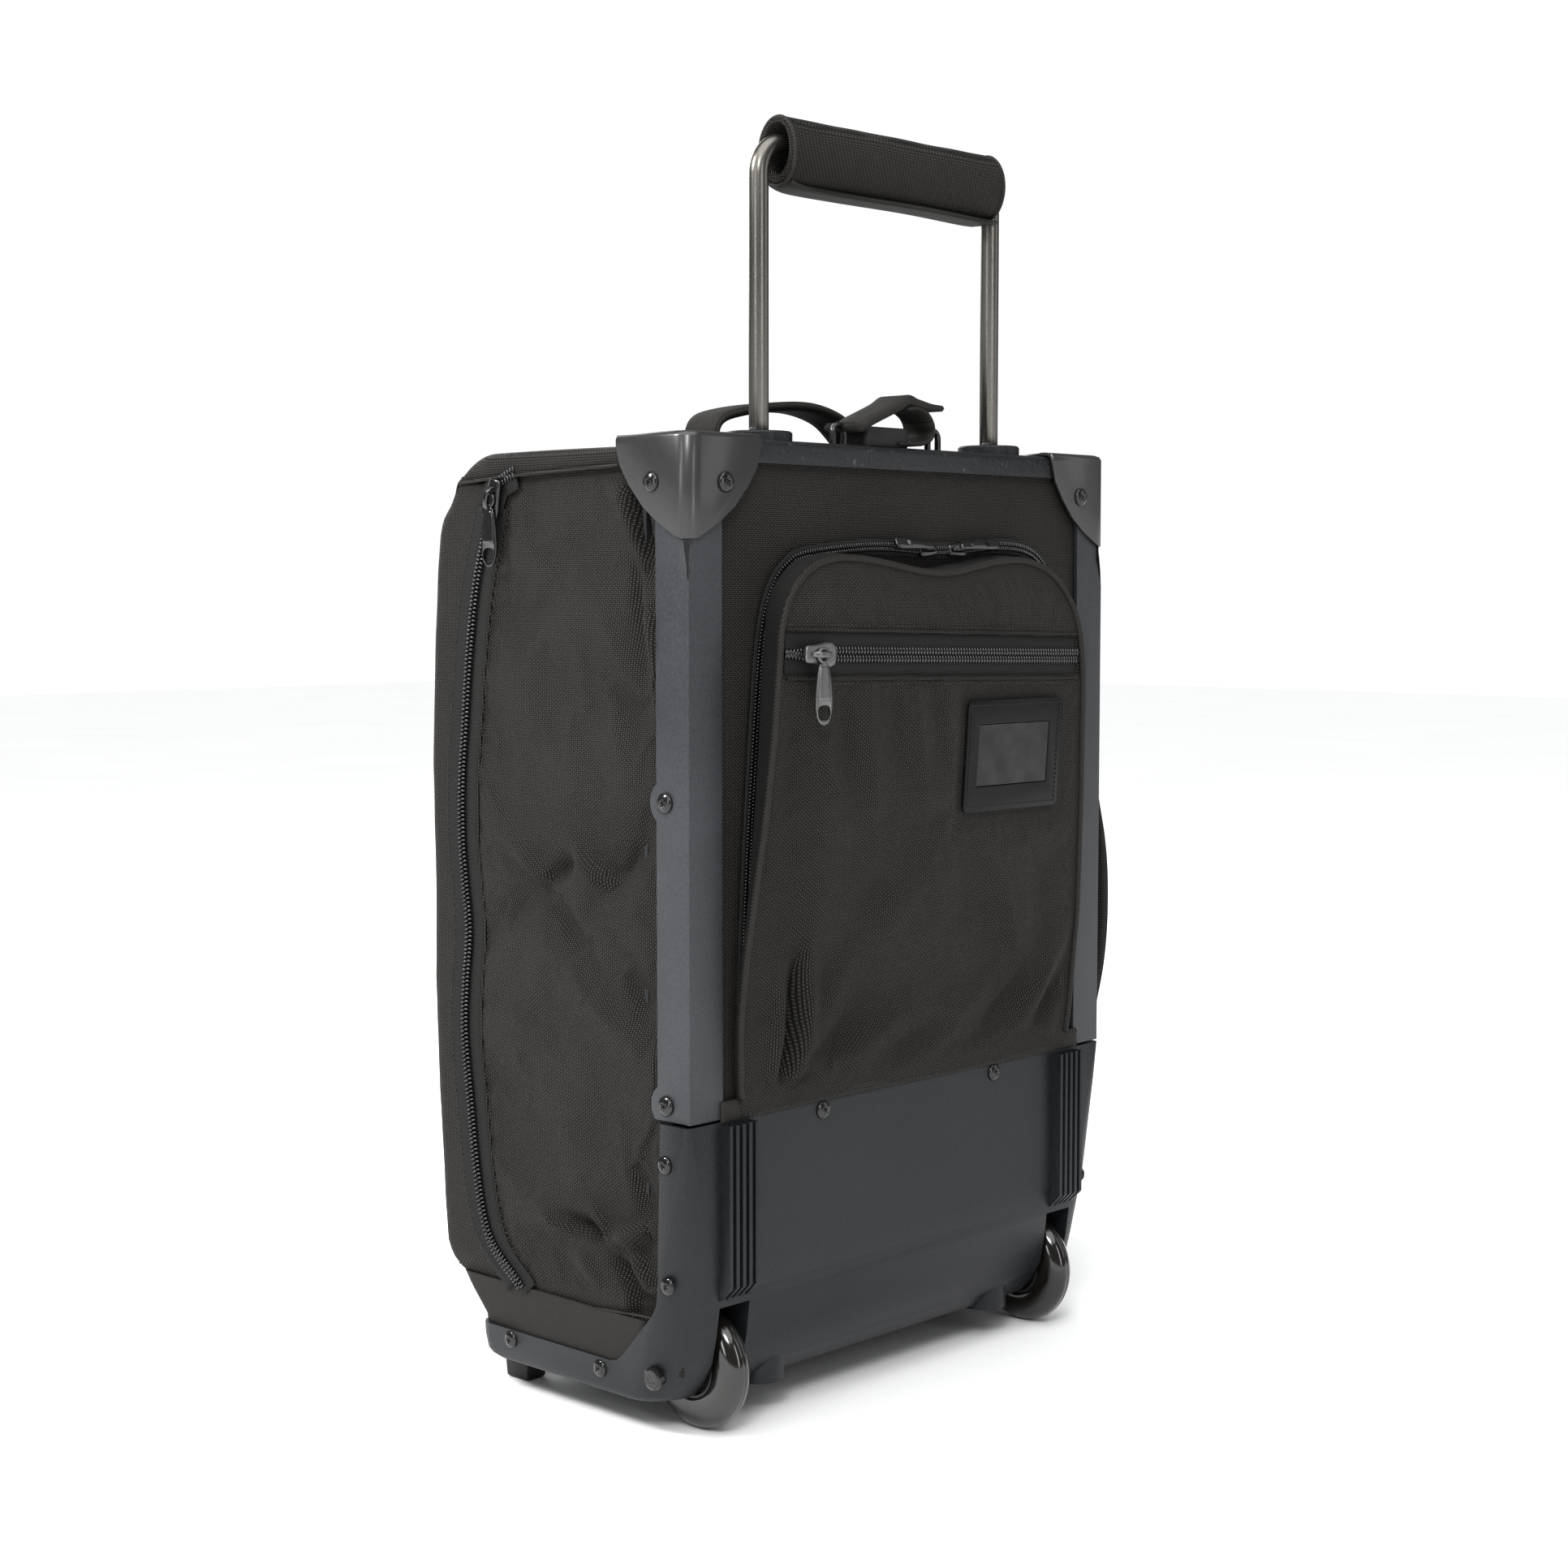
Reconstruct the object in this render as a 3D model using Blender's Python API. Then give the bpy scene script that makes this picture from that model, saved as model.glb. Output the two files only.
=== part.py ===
"""Softside upright suitcase: steel corner pillars on a moulded wheeled base, soft fabric case, pull-out handle.

Case frame, in metres: x = 0 is the mid-plane and +X the user's left when standing behind the case, y = 0 is the
pillars' back face with the front cover towards -Y, z = 0 is the floor. One empty shifts the case frame so that
the world origin is the centre of the bounding box at floor level. "left" names are at +X, "right" names at -X.
"""

import math

import bmesh
import bpy
from mathutils import Matrix, Vector

GAP = 0.0003                      # clearance between pieces that touch

# Steel frame
HALF_WIDTH = 0.180                # mid-plane to the pillars' side faces
PILLAR_LEG = 0.025
PILLAR_WALL = 0.003
PILLAR_BOTTOM = 0.178
PILLAR_TOP = 0.5385               # just under the caps' rounded upper edge
TAB_RADIUS = 0.0121               # half-round ears on the pillars' side legs
TAB_Y = -0.0178
TAB_HEIGHTS = (0.3487, 0.1862)
CAP_WALL = 0.002
CAP_REACH = 0.053                 # each cap lobe, measured from the corner
CAP_BOTTOM = 0.488
CAP_ROUND = 0.008                 # rounded vertical corner under and on the caps
DART_TOP = 0.480                  # the pillar's rounded corner runs out to a sharp one below here
DART_BOTTOM = 0.464
CHANNEL_TOP = 0.542
CHANNEL_DEPTH = 0.052
CHANNEL_HALF = 0.1547
CHANNEL_SKIRT = 0.529
CHANNEL_WALL = 0.0035

# Pull-out handle
TUBE_X = 0.100
TUBE_Y = -0.0263
ROD_RADIUS = 0.0055
ROD_TOP = 0.705                   # centre line of the cross run
ROD_END = 0.165
ELBOW_RADIUS = 0.018
BUSH_RADIUS = 0.0060
BUSH_LENGTH = 0.015
GUIDE_INNER = 0.0062
GUIDE_OUTER = 0.0080
GUIDE_BOTTOM = 0.0243
COLLAR_RADIUS = 0.0185
COLLAR_HEIGHT = 0.0055
GRIP_LOW_X = -0.088
GRIP_HIGH_X = 0.086
GRIP_Z = 0.701
GRIP_HALF_DEPTH = 0.0145
GRIP_HALF_HEIGHT = 0.0197
GRIP_WALL = 0.005

# Wheels
WHEEL_RADIUS = 0.035
WHEEL_X = 0.144
WHEEL_Y = -0.0293
TYRE_HALF_WIDTH = 0.009
TYRE_CROWN = 0.011
TYRE_INNER = 0.0173
HUB_OUTER = 0.0170
HUB_BORE = 0.0113
BEARING_OUTER = 0.0110
BEARING_BORE = 0.0043
AXLE_RADIUS = 0.0040
AXLE_HEAD_RADIUS = 0.0065

# Moulded base
BASE_BOTTOM = 0.0185
BASE_TOP = 0.1765
BASE_WALL = 0.003
BASE_FRONT = -0.178
STRIP_TOP = 0.0376
WELL_HALF = 0.0115
WELL_FRONT = -0.067
WELL_TOP = 0.074
SOCKET_RADIUS = 0.014
SOCKET_TOP = 0.048
RIB_COUNT = 5
RIB_PITCH = 0.005
RIB_WIDTH = 0.0025
RIB_INNER_X = 0.134
RIB_CREST = 0.0065
FOOT_X = 0.1515
FOOT_Y = -0.1675
FOOT_HALF_X = 0.0075
FOOT_HALF_Y = 0.0095

# Soft case
PANEL_OUTER = 0.1767
PANEL_THICK = 0.003
PANEL_BOTTOM = 0.0385
PANEL_FRONT = -0.190
PANEL_TOP = 0.5347
TOP_PANEL_TOP = 0.538
BAND_BOTTOM = 0.524               # lower edge of the top panel's side skirts
SKIN_OUTER = 0.1795               # outer face of the fabric that laps over the side panels
COVER_FRONT = -0.218
COVER_BACK = -0.1963
COVER_TOP = 0.508
COVER_BOTTOM = 0.066
COVER_HINGE_Y = -0.196
COVER_HINGE_Z = 0.064
SILL_TOP = 0.0625
BACK_PANEL_OUTER = -0.0033
INNER_BACK_Y = -0.039
POCKET_BOTTOM = 0.190

# Back pocket zip and its slider
CHAIN_HIGH = (0.127, 0.4273)      # x and z of the closed end
CHAIN_LOW = (-0.130, 0.4215)
CHAIN_HALF_WIDTH = 0.005
CHAIN_Y = 0.0209
CHAIN_THICK = 0.0022
SLIDER_LENGTH = 0.023
SLIDER_WIDTH = 0.0136
SLIDER_THICK = 0.0032
BRIDGE_HEIGHT = 0.0032
BOSS_HALF = 0.0024                # half width of the boss that the pull's fork straddles
PIVOT_HEIGHT = 0.0017             # pull axis above the slider's plate
SLIDER_X = 0.107
PULL_LENGTH = 0.037
PULL_WIDTH = 0.012
PULL_THICK = 0.0020

# Side zips: each slider waits at the top of its zip
SIDE_SLIDER_Y = -0.1545
SIDE_SLIDER_Z = 0.5120

# Straps
TOP_HANDLE_Y = -0.105
TOP_HANDLE_WIDTH = 0.028
SIDE_HANDLE_WIDTH = 0.028
STRAP_Y = -0.0195
STRAP_WIDTH = 0.025

# Outermost faces that set the bounding box
SIDE_HANDLE_OUTER = -0.2000
CAP_OUTER = HALF_WIDTH + GAP + CAP_WALL
REAR_MOST = CHAIN_Y + CHAIN_THICK + GAP + SLIDER_THICK + BRIDGE_HEIGHT
SHIFT = Vector((-(SIDE_HANDLE_OUTER + CAP_OUTER) / 2.0, -(COVER_FRONT + REAR_MOST) / 2.0, 0.0))

SIDES = (("left", 1.0), ("right", -1.0))
FINE = 36                         # segments of large round parts
ROUND = 24                        # segments of middling ones
SMALL = 16


# ---------------------------------------------------------------- helpers

def clear_scene():
    for obj in list(bpy.data.objects):
        bpy.data.objects.remove(obj)


def material(name, colour, roughness, metallic=0.0, alpha=1.0):
    mat = bpy.data.materials.get(name)
    if mat:
        return mat
    mat = bpy.data.materials.new(name)
    mat.use_nodes = True
    shader = mat.node_tree.nodes["Principled BSDF"]
    shader.inputs["Base Color"].default_value = (*colour, 1.0)
    shader.inputs["Roughness"].default_value = roughness
    shader.inputs["Metallic"].default_value = metallic
    shader.inputs["Alpha"].default_value = alpha
    return mat


def powder_coat():
    return material("pillar_powder_coat", (0.060, 0.064, 0.070), 0.55, 0.2)


def cap_enamel():
    return material("cap_enamel", (0.040, 0.040, 0.041), 0.32, 0.4)


def moulded_plastic():
    return material("moulded_plastic", (0.028, 0.031, 0.035), 0.50)


def gunmetal():
    return material("gunmetal", (0.150, 0.145, 0.135), 0.30, 1.0)


def black_steel():
    return material("black_steel", (0.020, 0.020, 0.021), 0.22, 0.8)


def bright_steel():
    return material("bright_steel", (0.55, 0.55, 0.56), 0.25, 1.0)


def ballistic_nylon():
    return material("ballistic_nylon", (0.022, 0.020, 0.018), 0.78)


def webbing():
    return material("webbing", (0.020, 0.019, 0.018), 0.85)


def wheel_urethane():
    return material("wheel_urethane", (0.012, 0.012, 0.012), 0.15)


def hub_nylon():
    return material("hub_nylon", (0.018, 0.018, 0.018), 0.40)


def black_rubber():
    return material("black_rubber", (0.015, 0.015, 0.016), 0.65)


def zip_black():
    return material("zip_black", (0.012, 0.012, 0.013), 0.28)


def vinyl():
    return material("vinyl", (0.014, 0.014, 0.015), 0.38)


def clear_window():
    return material("clear_window", (0.80, 0.82, 0.84), 0.08, 0.0, 0.35)


def liner_board():
    return material("liner_board", (0.030, 0.030, 0.032), 0.80)


def new_object(name, bm, mat, smooth_angle=None):
    """Turns a bmesh into a linked object with its faces pointing out."""
    bmesh.ops.recalc_face_normals(bm, faces=bm.faces)
    mesh = bpy.data.meshes.new(name)
    bm.to_mesh(mesh)
    bm.free()
    mesh.materials.append(mat)
    if smooth_angle is not None:
        mesh.shade_smooth()
        mesh.set_sharp_from_angle(angle=math.radians(smooth_angle))
    obj = bpy.data.objects.new(name, mesh)
    bpy.context.scene.collection.objects.link(obj)
    return obj


def loft(name, rings, mat, smooth_angle=None, closed=False):
    """Skins equal-length rings of points in order; the two ends are filled, or joined when closed."""
    bm = bmesh.new()
    rows = [[bm.verts.new(point) for point in ring] for ring in rings]
    count = len(rows[0])
    pairs = list(zip(rows, rows[1:]))
    if closed:
        pairs.append((rows[-1], rows[0]))
    for lower, upper in pairs:
        for i in range(count):
            j = (i + 1) % count
            bm.faces.new((lower[i], lower[j], upper[j], upper[i]))
    if not closed:
        bm.faces.new(list(reversed(rows[0])))
        bm.faces.new(rows[-1])
    return new_object(name, bm, mat, smooth_angle)


def prism(name, outline, axis, low, high, mat, smooth_angle=None):
    """Extrudes a flat outline along an axis; the outline's two numbers are the other axes in X, Y, Z order."""
    index = "XYZ".index(axis)

    def point(pair, level):
        values = list(pair)
        values.insert(index, level)
        return Vector(values)

    rings = [[point(pair, level) for pair in outline] for level in (low, high)]
    return loft(name, rings, mat, smooth_angle)


def box(name, low, high, mat):
    outline = [(low[0], low[1]), (high[0], low[1]), (high[0], high[1]), (low[0], high[1])]
    return prism(name, outline, "Z", low[2], high[2], mat)


def turned(name, profile, centre, axis, segments, mat, smooth_angle=40.0):
    """Spins a closed profile of (distance along the axis, radius) round an axis through a centre."""
    rings = []
    for step in range(segments):
        angle = 2.0 * math.pi * step / segments - math.pi / 2.0
        ring = []
        for along, radius in profile:
            across = (radius * math.cos(angle), radius * math.sin(angle))
            if axis == "X":
                offset = Vector((along, *across))
            elif axis == "Y":
                offset = Vector((across[0], along, across[1]))
            else:
                offset = Vector((*across, along))
            ring.append(Vector(centre) + offset)
        rings.append(ring)
    return loft(name, rings, mat, smooth_angle, closed=True)


def cylinder(name, centre, axis, low, high, radius, segments, mat, smooth_angle=40.0):
    """A plain cylinder; low and high are distances from the centre along the axis."""
    circle = []
    for step in range(segments):
        angle = 2.0 * math.pi * step / segments
        circle.append((radius * math.cos(angle), radius * math.sin(angle)))
    index = "XYZ".index(axis)
    others = [i for i in range(3) if i != index]
    outline = [(centre[others[0]] + a, centre[others[1]] + b) for a, b in circle]
    return prism(name, outline, axis, centre[index] + low, centre[index] + high, mat, smooth_angle)


def stacked(name, profile, centre, axis, sign, segments, mat, smooth_angle=40.0):
    """A solid of revolution from rings of (distance along the axis, radius); both end rings are filled."""
    index = "XYZ".index(axis)
    rings = []
    for along, radius in profile:
        ring = []
        for step in range(segments):
            angle = 2.0 * math.pi * step / segments
            values = [radius * math.cos(angle), radius * math.sin(angle)]
            values.insert(index, sign * along)
            ring.append(Vector(centre) + Vector(values))
        rings.append(ring)
    return loft(name, rings, mat, smooth_angle)


def combine(target, tool, operation, keep_tool=False):
    """Applies one Boolean to the target and removes the tool object."""
    modifier = target.modifiers.new("combine", "BOOLEAN")
    modifier.operation = operation
    modifier.solver = "EXACT"
    modifier.object = tool
    depsgraph = bpy.context.evaluated_depsgraph_get()
    result = bpy.data.meshes.new_from_object(target.evaluated_get(depsgraph))
    target.modifiers.clear()
    target.data = result
    if not keep_tool:
        bpy.data.objects.remove(tool)
    return target


def cut(target, tool):
    return combine(target, tool, "DIFFERENCE")


def join(target, tool):
    return combine(target, tool, "UNION")


def rounded_corner(corner, towards_a, towards_b, radius, segments):
    """Arc that replaces a right-angled corner, from the side of towards_a to the side of towards_b."""
    a = Vector(towards_a)
    b = Vector(towards_b)
    centre = Vector(corner) + (a + b) * radius
    points = []
    for step in range(segments + 1):
        angle = 0.5 * math.pi * step / segments
        points.append(centre - b * radius * math.cos(angle) - a * radius * math.sin(angle))
    return points


def rounded_rectangle(low, high, radii, segments):
    """Outline of a rectangle; radii and segments start at the low-low corner and run anticlockwise."""
    corners = (
        ((low[0], low[1]), (0.0, 1.0), (1.0, 0.0)),
        ((high[0], low[1]), (-1.0, 0.0), (0.0, 1.0)),
        ((high[0], high[1]), (0.0, -1.0), (-1.0, 0.0)),
        ((low[0], high[1]), (1.0, 0.0), (0.0, -1.0)),
    )
    outline = []
    for (corner, a, b), radius, steps in zip(corners, radii, segments):
        outline += [tuple(p) for p in rounded_corner(corner, a, b, radius, steps)]
    return outline


def interpolate(stations, value):
    """Straight-line interpolation in a list of (value, result, result...) stations."""
    if value <= stations[0][0]:
        return stations[0][1:]
    for low, high in zip(stations, stations[1:]):
        if value <= high[0]:
            t = (value - low[0]) / (high[0] - low[0])
            return tuple(a + (b - a) * t for a, b in zip(low[1:], high[1:]))
    return stations[-1][1:]


def smooth_path(points, steps):
    """Catmull-Rom curve through hand-set points."""
    padded = [points[0]] + list(points) + [points[-1]]
    path = []
    for i in range(1, len(padded) - 2):
        p0, p1, p2, p3 = (Vector(p) for p in padded[i - 1:i + 3])
        for step in range(steps):
            t = step / steps
            path.append(0.5 * (2 * p1 + (p2 - p0) * t + (2 * p0 - 5 * p1 + 4 * p2 - p3) * t * t
                               + (3 * p1 - p0 - 3 * p2 + p3) * t ** 3))
    path.append(Vector(points[-1]))
    return path


def strap(name, path, width_centre, width, thickness, mat):
    """A flat strap along a path of (x, z) points, as wide as asked along Y."""
    rings = []
    for i, point in enumerate(path):
        before = path[max(i - 1, 0)]
        after = path[min(i + 1, len(path) - 1)]
        along = (after - before).normalized()
        normal = Vector((-along.y, along.x)) * thickness / 2.0
        ring = []
        for side, across in ((1, -1), (1, 1), (-1, 1), (-1, -1)):
            flat = point + normal * side
            ring.append(Vector((flat.x, width_centre + across * width / 2.0, flat.y)))
        rings.append(ring)
    return loft(name, rings, mat, 40.0)


def arc(centre, radius, start_deg, end_deg, steps):
    points = []
    for step in range(steps + 1):
        angle = math.radians(start_deg + (end_deg - start_deg) * step / steps)
        points.append(Vector((centre[0] + radius * math.cos(angle), centre[1] + radius * math.sin(angle))))
    return points


def tube_along(name, points, radius, mat, resolution=3):
    """A round rod: a curve with a bevel depth and filled caps."""
    curve = bpy.data.curves.new(name, "CURVE")
    curve.dimensions = "3D"
    curve.bevel_depth = radius
    curve.bevel_resolution = resolution
    curve.use_fill_caps = True
    spline = curve.splines.new("POLY")
    spline.points.add(len(points) - 1)
    for slot, point in zip(spline.points, points):
        slot.co = (*point, 1.0)
    curve.materials.append(mat)
    obj = bpy.data.objects.new(name, curve)
    bpy.context.scene.collection.objects.link(obj)
    return obj


def screw(name, centre, axis, sign, radius=0.0055, height=0.0030):
    """A pan head standing on a face: centre is on the face, sign gives its outward direction on the axis."""
    profile = [(0.0, radius), (height * 0.35, radius * 0.96), (height * 0.75, radius * 0.72), (height, radius * 0.34)]
    return stacked(name, profile, centre, axis, sign, SMALL, black_steel())


# ---------------------------------------------------------------- moulded base

# height, half width, back face, back corner radius, front face
BASE_STATIONS = (
    (0.0185, 0.1765, -0.0310, 0.020, -0.168),
    (0.0200, 0.1775, -0.0260, 0.022, -0.173),
    (0.0225, 0.1780, -0.0215, 0.024, -0.176),
    (0.0310, 0.1786, -0.0140, 0.028, BASE_FRONT),
    (0.0420, 0.1793, -0.0075, 0.030, BASE_FRONT),
    (0.0560, 0.1803, -0.0045, 0.030, BASE_FRONT),
    (0.0720, 0.1812, -0.0025, 0.028, BASE_FRONT),
    (0.0950, 0.1820, 0.0000, 0.024, BASE_FRONT),
    (0.1270, 0.1820, 0.0000, 0.015, BASE_FRONT),
    (0.1550, 0.1820, 0.0000, 0.008, BASE_FRONT),
    (BASE_TOP, 0.1820, 0.0000, 0.0035, BASE_FRONT),
)
FRONT_CORNER = 0.010


def base_ring(height, inset):
    half, back, corner, front = interpolate(BASE_STATIONS, height)
    back_radius = max(corner - inset, 0.0005)
    front_radius = FRONT_CORNER - inset
    outline = rounded_rectangle(
        (-half + inset, front + inset), (half - inset, back - inset),
        (front_radius, front_radius, back_radius, back_radius), (3, 3, 7, 7))
    return [Vector((x, y, height)) for x, y in outline]


def base_hollow():
    """The space inside the base: its inner wall less the wheel housings and the handle-tube sockets."""
    floor = BASE_BOTTOM + BASE_WALL
    levels = [floor] + [s[0] for s in BASE_STATIONS if s[0] > floor + 0.001]
    rings = [base_ring(level, BASE_WALL) for level in levels]
    rings.append([point + Vector((0.0, 0.0, 0.010)) for point in rings[-1]])
    hollow = loft("base_hollow", rings, moulded_plastic())
    for _, side in SIDES:
        centre = WHEEL_X * side
        reach = WELL_HALF + BASE_WALL
        housing = box("housing", (centre - reach, WELL_FRONT - BASE_WALL, 0.0),
                      (centre + reach, 0.05, WELL_TOP + BASE_WALL), moulded_plastic())
        cut(hollow, housing)
        socket = cylinder("socket", (TUBE_X * side, TUBE_Y, 0.0), "Z", 0.0, SOCKET_TOP, SOCKET_RADIUS,
                          ROUND, moulded_plastic())
        cut(hollow, socket)
    return hollow


def skid_rib(x, side):
    """One upright skid: proud of the back face, with its foot cut at 45 degrees."""
    root = -0.0015
    foot = 0.0795
    outline = [(root, BASE_TOP - GAP * 5), (RIB_CREST, BASE_TOP - GAP * 5), (RIB_CREST, foot + RIB_CREST),
               (root, foot + root)]
    low, high = sorted((x, x + side * RIB_WIDTH))
    return prism("skid_rib", outline, "X", low, high, moulded_plastic())


def base_shell():
    levels = [s[0] for s in BASE_STATIONS]
    base = loft("base_shell", [base_ring(level, 0.0) for level in levels], moulded_plastic(), 35.0)
    for _, side in SIDES:
        boss = cylinder("boss", (TUBE_X * side, TUBE_Y, 0.0), "Z", BASE_BOTTOM, SOCKET_TOP - 0.006,
                        SOCKET_RADIUS, ROUND, moulded_plastic())
        join(base, boss)
    cut(base, base_hollow())
    open_side = [(-0.0205, 0.185), (-0.0222, 0.125), (-0.0233, 0.091), (-0.0255, 0.076), (-0.0292, 0.0695),
                 (-0.0540, 0.0430), (-0.0590, 0.0390), (-0.0650, STRIP_TOP), (-0.200, STRIP_TOP),
                 (-0.200, 0.185)]
    cut(base, prism("open_side", open_side, "X", -0.2, 0.2, moulded_plastic()))
    for _, side in SIDES:
        centre = WHEEL_X * side
        well = box("well", (centre - WELL_HALF, WELL_FRONT, 0.0), (centre + WELL_HALF, 0.05, WELL_TOP),
                   moulded_plastic())
        cut(base, well)
        tube_hole = cylinder("tube_hole", (TUBE_X * side, TUBE_Y, 0.0), "Z", GUIDE_BOTTOM - GAP, 0.1,
                             GUIDE_OUTER + GAP, ROUND, moulded_plastic())
        cut(base, tube_hole)
        axle_hole = cylinder("axle_hole", (side * 0.155, WHEEL_Y, WHEEL_RADIUS), "X", -0.030, 0.030,
                             AXLE_RADIUS + GAP, SMALL, moulded_plastic())
        cut(base, axle_hole)
        for index in range(RIB_COUNT):
            join(base, skid_rib(side * (RIB_INNER_X + RIB_PITCH * index), side))
    base.data.shade_smooth()
    base.data.set_sharp_from_angle(angle=math.radians(35.0))
    return base


def front_foot(name, side):
    """Moulded foot block under a front corner, narrowing a little to the floor."""
    rings = []
    for height, inset in ((0.0, 0.0012), (0.0012, 0.0), (BASE_BOTTOM - GAP, -0.001)):
        low = (side * FOOT_X - FOOT_HALF_X + inset, FOOT_Y - FOOT_HALF_Y + inset)
        high = (side * FOOT_X + FOOT_HALF_X - inset, FOOT_Y + FOOT_HALF_Y - inset)
        outline = rounded_rectangle(low, high, (0.002,) * 4, (2,) * 4)
        rings.append([Vector((x, y, height)) for x, y in outline])
    return loft(name, rings, black_rubber(), 40.0)


# ---------------------------------------------------------------- steel frame

def pillar(name, side):
    """Angle-section pillar whose outer corner is rounded at the top and sharp below a short dart."""
    rings = []
    stations = ((PILLAR_BOTTOM, 0.0006), (DART_BOTTOM, 0.0006), (DART_TOP, CAP_ROUND), (PILLAR_TOP, CAP_ROUND))
    for height, radius in stations:
        outer = rounded_corner((HALF_WIDTH, 0.0), (-1.0, 0.0), (0.0, -1.0), radius, 5)
        inner_radius = max(radius - PILLAR_WALL, 0.0003)
        inner = rounded_corner((HALF_WIDTH - PILLAR_WALL, -PILLAR_WALL), (-1.0, 0.0), (0.0, -1.0),
                               inner_radius, 5)
        outline = [Vector((HALF_WIDTH - PILLAR_LEG, 0.0))] + outer
        outline += [Vector((HALF_WIDTH, -PILLAR_LEG)), Vector((HALF_WIDTH - PILLAR_WALL, -PILLAR_LEG))]
        outline += list(reversed(inner)) + [Vector((HALF_WIDTH - PILLAR_LEG, -PILLAR_WALL))]
        rings.append([Vector((p.x * side, p.y, height)) for p in outline])
    post = loft(name, rings, powder_coat(), 35.0)
    for height in TAB_HEIGHTS:
        low, high = sorted((side * (HALF_WIDTH - PILLAR_WALL), side * HALF_WIDTH))
        ear = cylinder("ear", (0.0, TAB_Y, height), "X", low, high, TAB_RADIUS, FINE, powder_coat())
        below = box("below", (-0.3, -0.1, 0.1), (0.3, 0.1, PILLAR_BOTTOM), powder_coat())
        cut(ear, below)
        join(post, ear)
    return post


def cap_outline():
    """One lobe of a corner cap: (distance from the corner edge, height)."""
    top = CHANNEL_TOP + GAP + CAP_WALL
    lobe = [(-0.004, top), (CAP_REACH, top), (CAP_REACH, 0.538), (0.050, 0.527), (0.0425, 0.516),
            (0.0325, 0.505), (0.0210, 0.4965), (0.0090, 0.4900), (0.0045, CAP_BOTTOM), (-0.004, CAP_BOTTOM)]
    return lobe


def corner_cap(name, side):
    """Pressed steel corner: a solid corner, hollowed, then trimmed to three rounded lobes."""
    outer = HALF_WIDTH + GAP + CAP_WALL
    inner = HALF_WIDTH + GAP
    back = GAP + CAP_WALL
    top = CHANNEL_TOP + GAP + CAP_WALL

    def block(reach, back_face, height, radius, bottom):
        outline = rounded_rectangle((0.100, -0.080), (reach, back_face), (0.001, 0.001, radius, 0.001),
                                    (1, 1, 5, 1))
        rings = []
        for level, inset in ((bottom, 0.0), (height - 0.003, 0.0), (height - 0.0009, 0.0009), (height, 0.003)):
            rings.append([Vector(((x - (inset if x > 0.14 else 0.0)) * side,
                                  y - (inset if y > -0.04 else 0.0), level)) for x, y in outline])
        return loft("cap_block", rings, cap_enamel())

    cap = block(outer, back, top, CAP_ROUND + CAP_WALL, CAP_BOTTOM)
    cut(cap, block(inner, GAP, CHANNEL_TOP + GAP, CAP_ROUND, CAP_BOTTOM - 0.01))
    lobe = cap_outline()
    side_lobe = [(-s, z) for s, z in lobe]
    combine(cap, prism("side_trim", side_lobe, "X", -0.3, 0.3, cap_enamel()), "INTERSECT")
    back_lobe = [((HALF_WIDTH - s) * side, z) for s, z in lobe]
    combine(cap, prism("back_trim", back_lobe, "Y", -0.2, 0.1, cap_enamel()), "INTERSECT")
    top_lobe = [(HALF_WIDTH + 0.004, 0.004), (HALF_WIDTH - CAP_REACH, 0.004)]
    top_lobe += [(HALF_WIDTH - p.x, -p.y) for p in arc((0.0, 0.0), CAP_REACH, 0.0, 90.0, 8)]
    top_lobe += [(HALF_WIDTH + 0.004, -CAP_REACH)]
    top_lobe = [(x * side, y) for x, y in top_lobe]
    combine(cap, prism("top_trim", top_lobe, "Z", 0.4, 0.6, cap_enamel()), "INTERSECT")
    cap.name = name
    cap.data.name = name
    cap.data.shade_smooth()
    cap.data.set_sharp_from_angle(angle=math.radians(35.0))
    return cap


def top_channel():
    """Moulded rail across the top of the back, open below, with a rounded back edge."""
    back_edge = [tuple(p) for p in rounded_corner((0.0, CHANNEL_TOP), (0.0, -1.0), (-1.0, 0.0), 0.005, 4)]
    front = -CHANNEL_DEPTH
    wall = CHANNEL_WALL
    outline = [(0.0, CHANNEL_SKIRT)] + back_edge + [
        (front, CHANNEL_TOP), (front, CHANNEL_SKIRT), (front + wall, CHANNEL_SKIRT),
        (front + wall, CHANNEL_TOP - wall), (-PILLAR_WALL, CHANNEL_TOP - wall), (-PILLAR_WALL, CHANNEL_SKIRT)]
    channel = prism("top_channel", outline, "X", -CHANNEL_HALF, CHANNEL_HALF, moulded_plastic(), 35.0)
    for _, side in SIDES:
        hole = cylinder("hole", (TUBE_X * side, TUBE_Y, 0.5), "Z", 0.0, 0.1, GUIDE_OUTER + GAP, ROUND,
                        moulded_plastic())
        cut(channel, hole)
    return channel


def collar(name, side):
    """Flanged guide ring that the handle rod slides through."""
    bottom = CHANNEL_TOP + GAP
    top = bottom + COLLAR_HEIGHT
    bore = ROD_RADIUS + 0.0004
    profile = [(bottom, bore), (top, bore), (top, COLLAR_RADIUS - 0.001), (top - 0.001, COLLAR_RADIUS),
               (bottom, COLLAR_RADIUS)]
    return turned(name, profile, (TUBE_X * side, TUBE_Y, 0.0), "Z", FINE, moulded_plastic())


# ---------------------------------------------------------------- pull-out handle

def guide_tube(name, side):
    top = CHANNEL_TOP - GAP * 2
    profile = [(GUIDE_BOTTOM, GUIDE_INNER), (top, GUIDE_INNER), (top, GUIDE_OUTER), (GUIDE_BOTTOM, GUIDE_OUTER)]
    return turned(name, profile, (TUBE_X * side, TUBE_Y, 0.0), "Z", ROUND, bright_steel())


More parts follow.
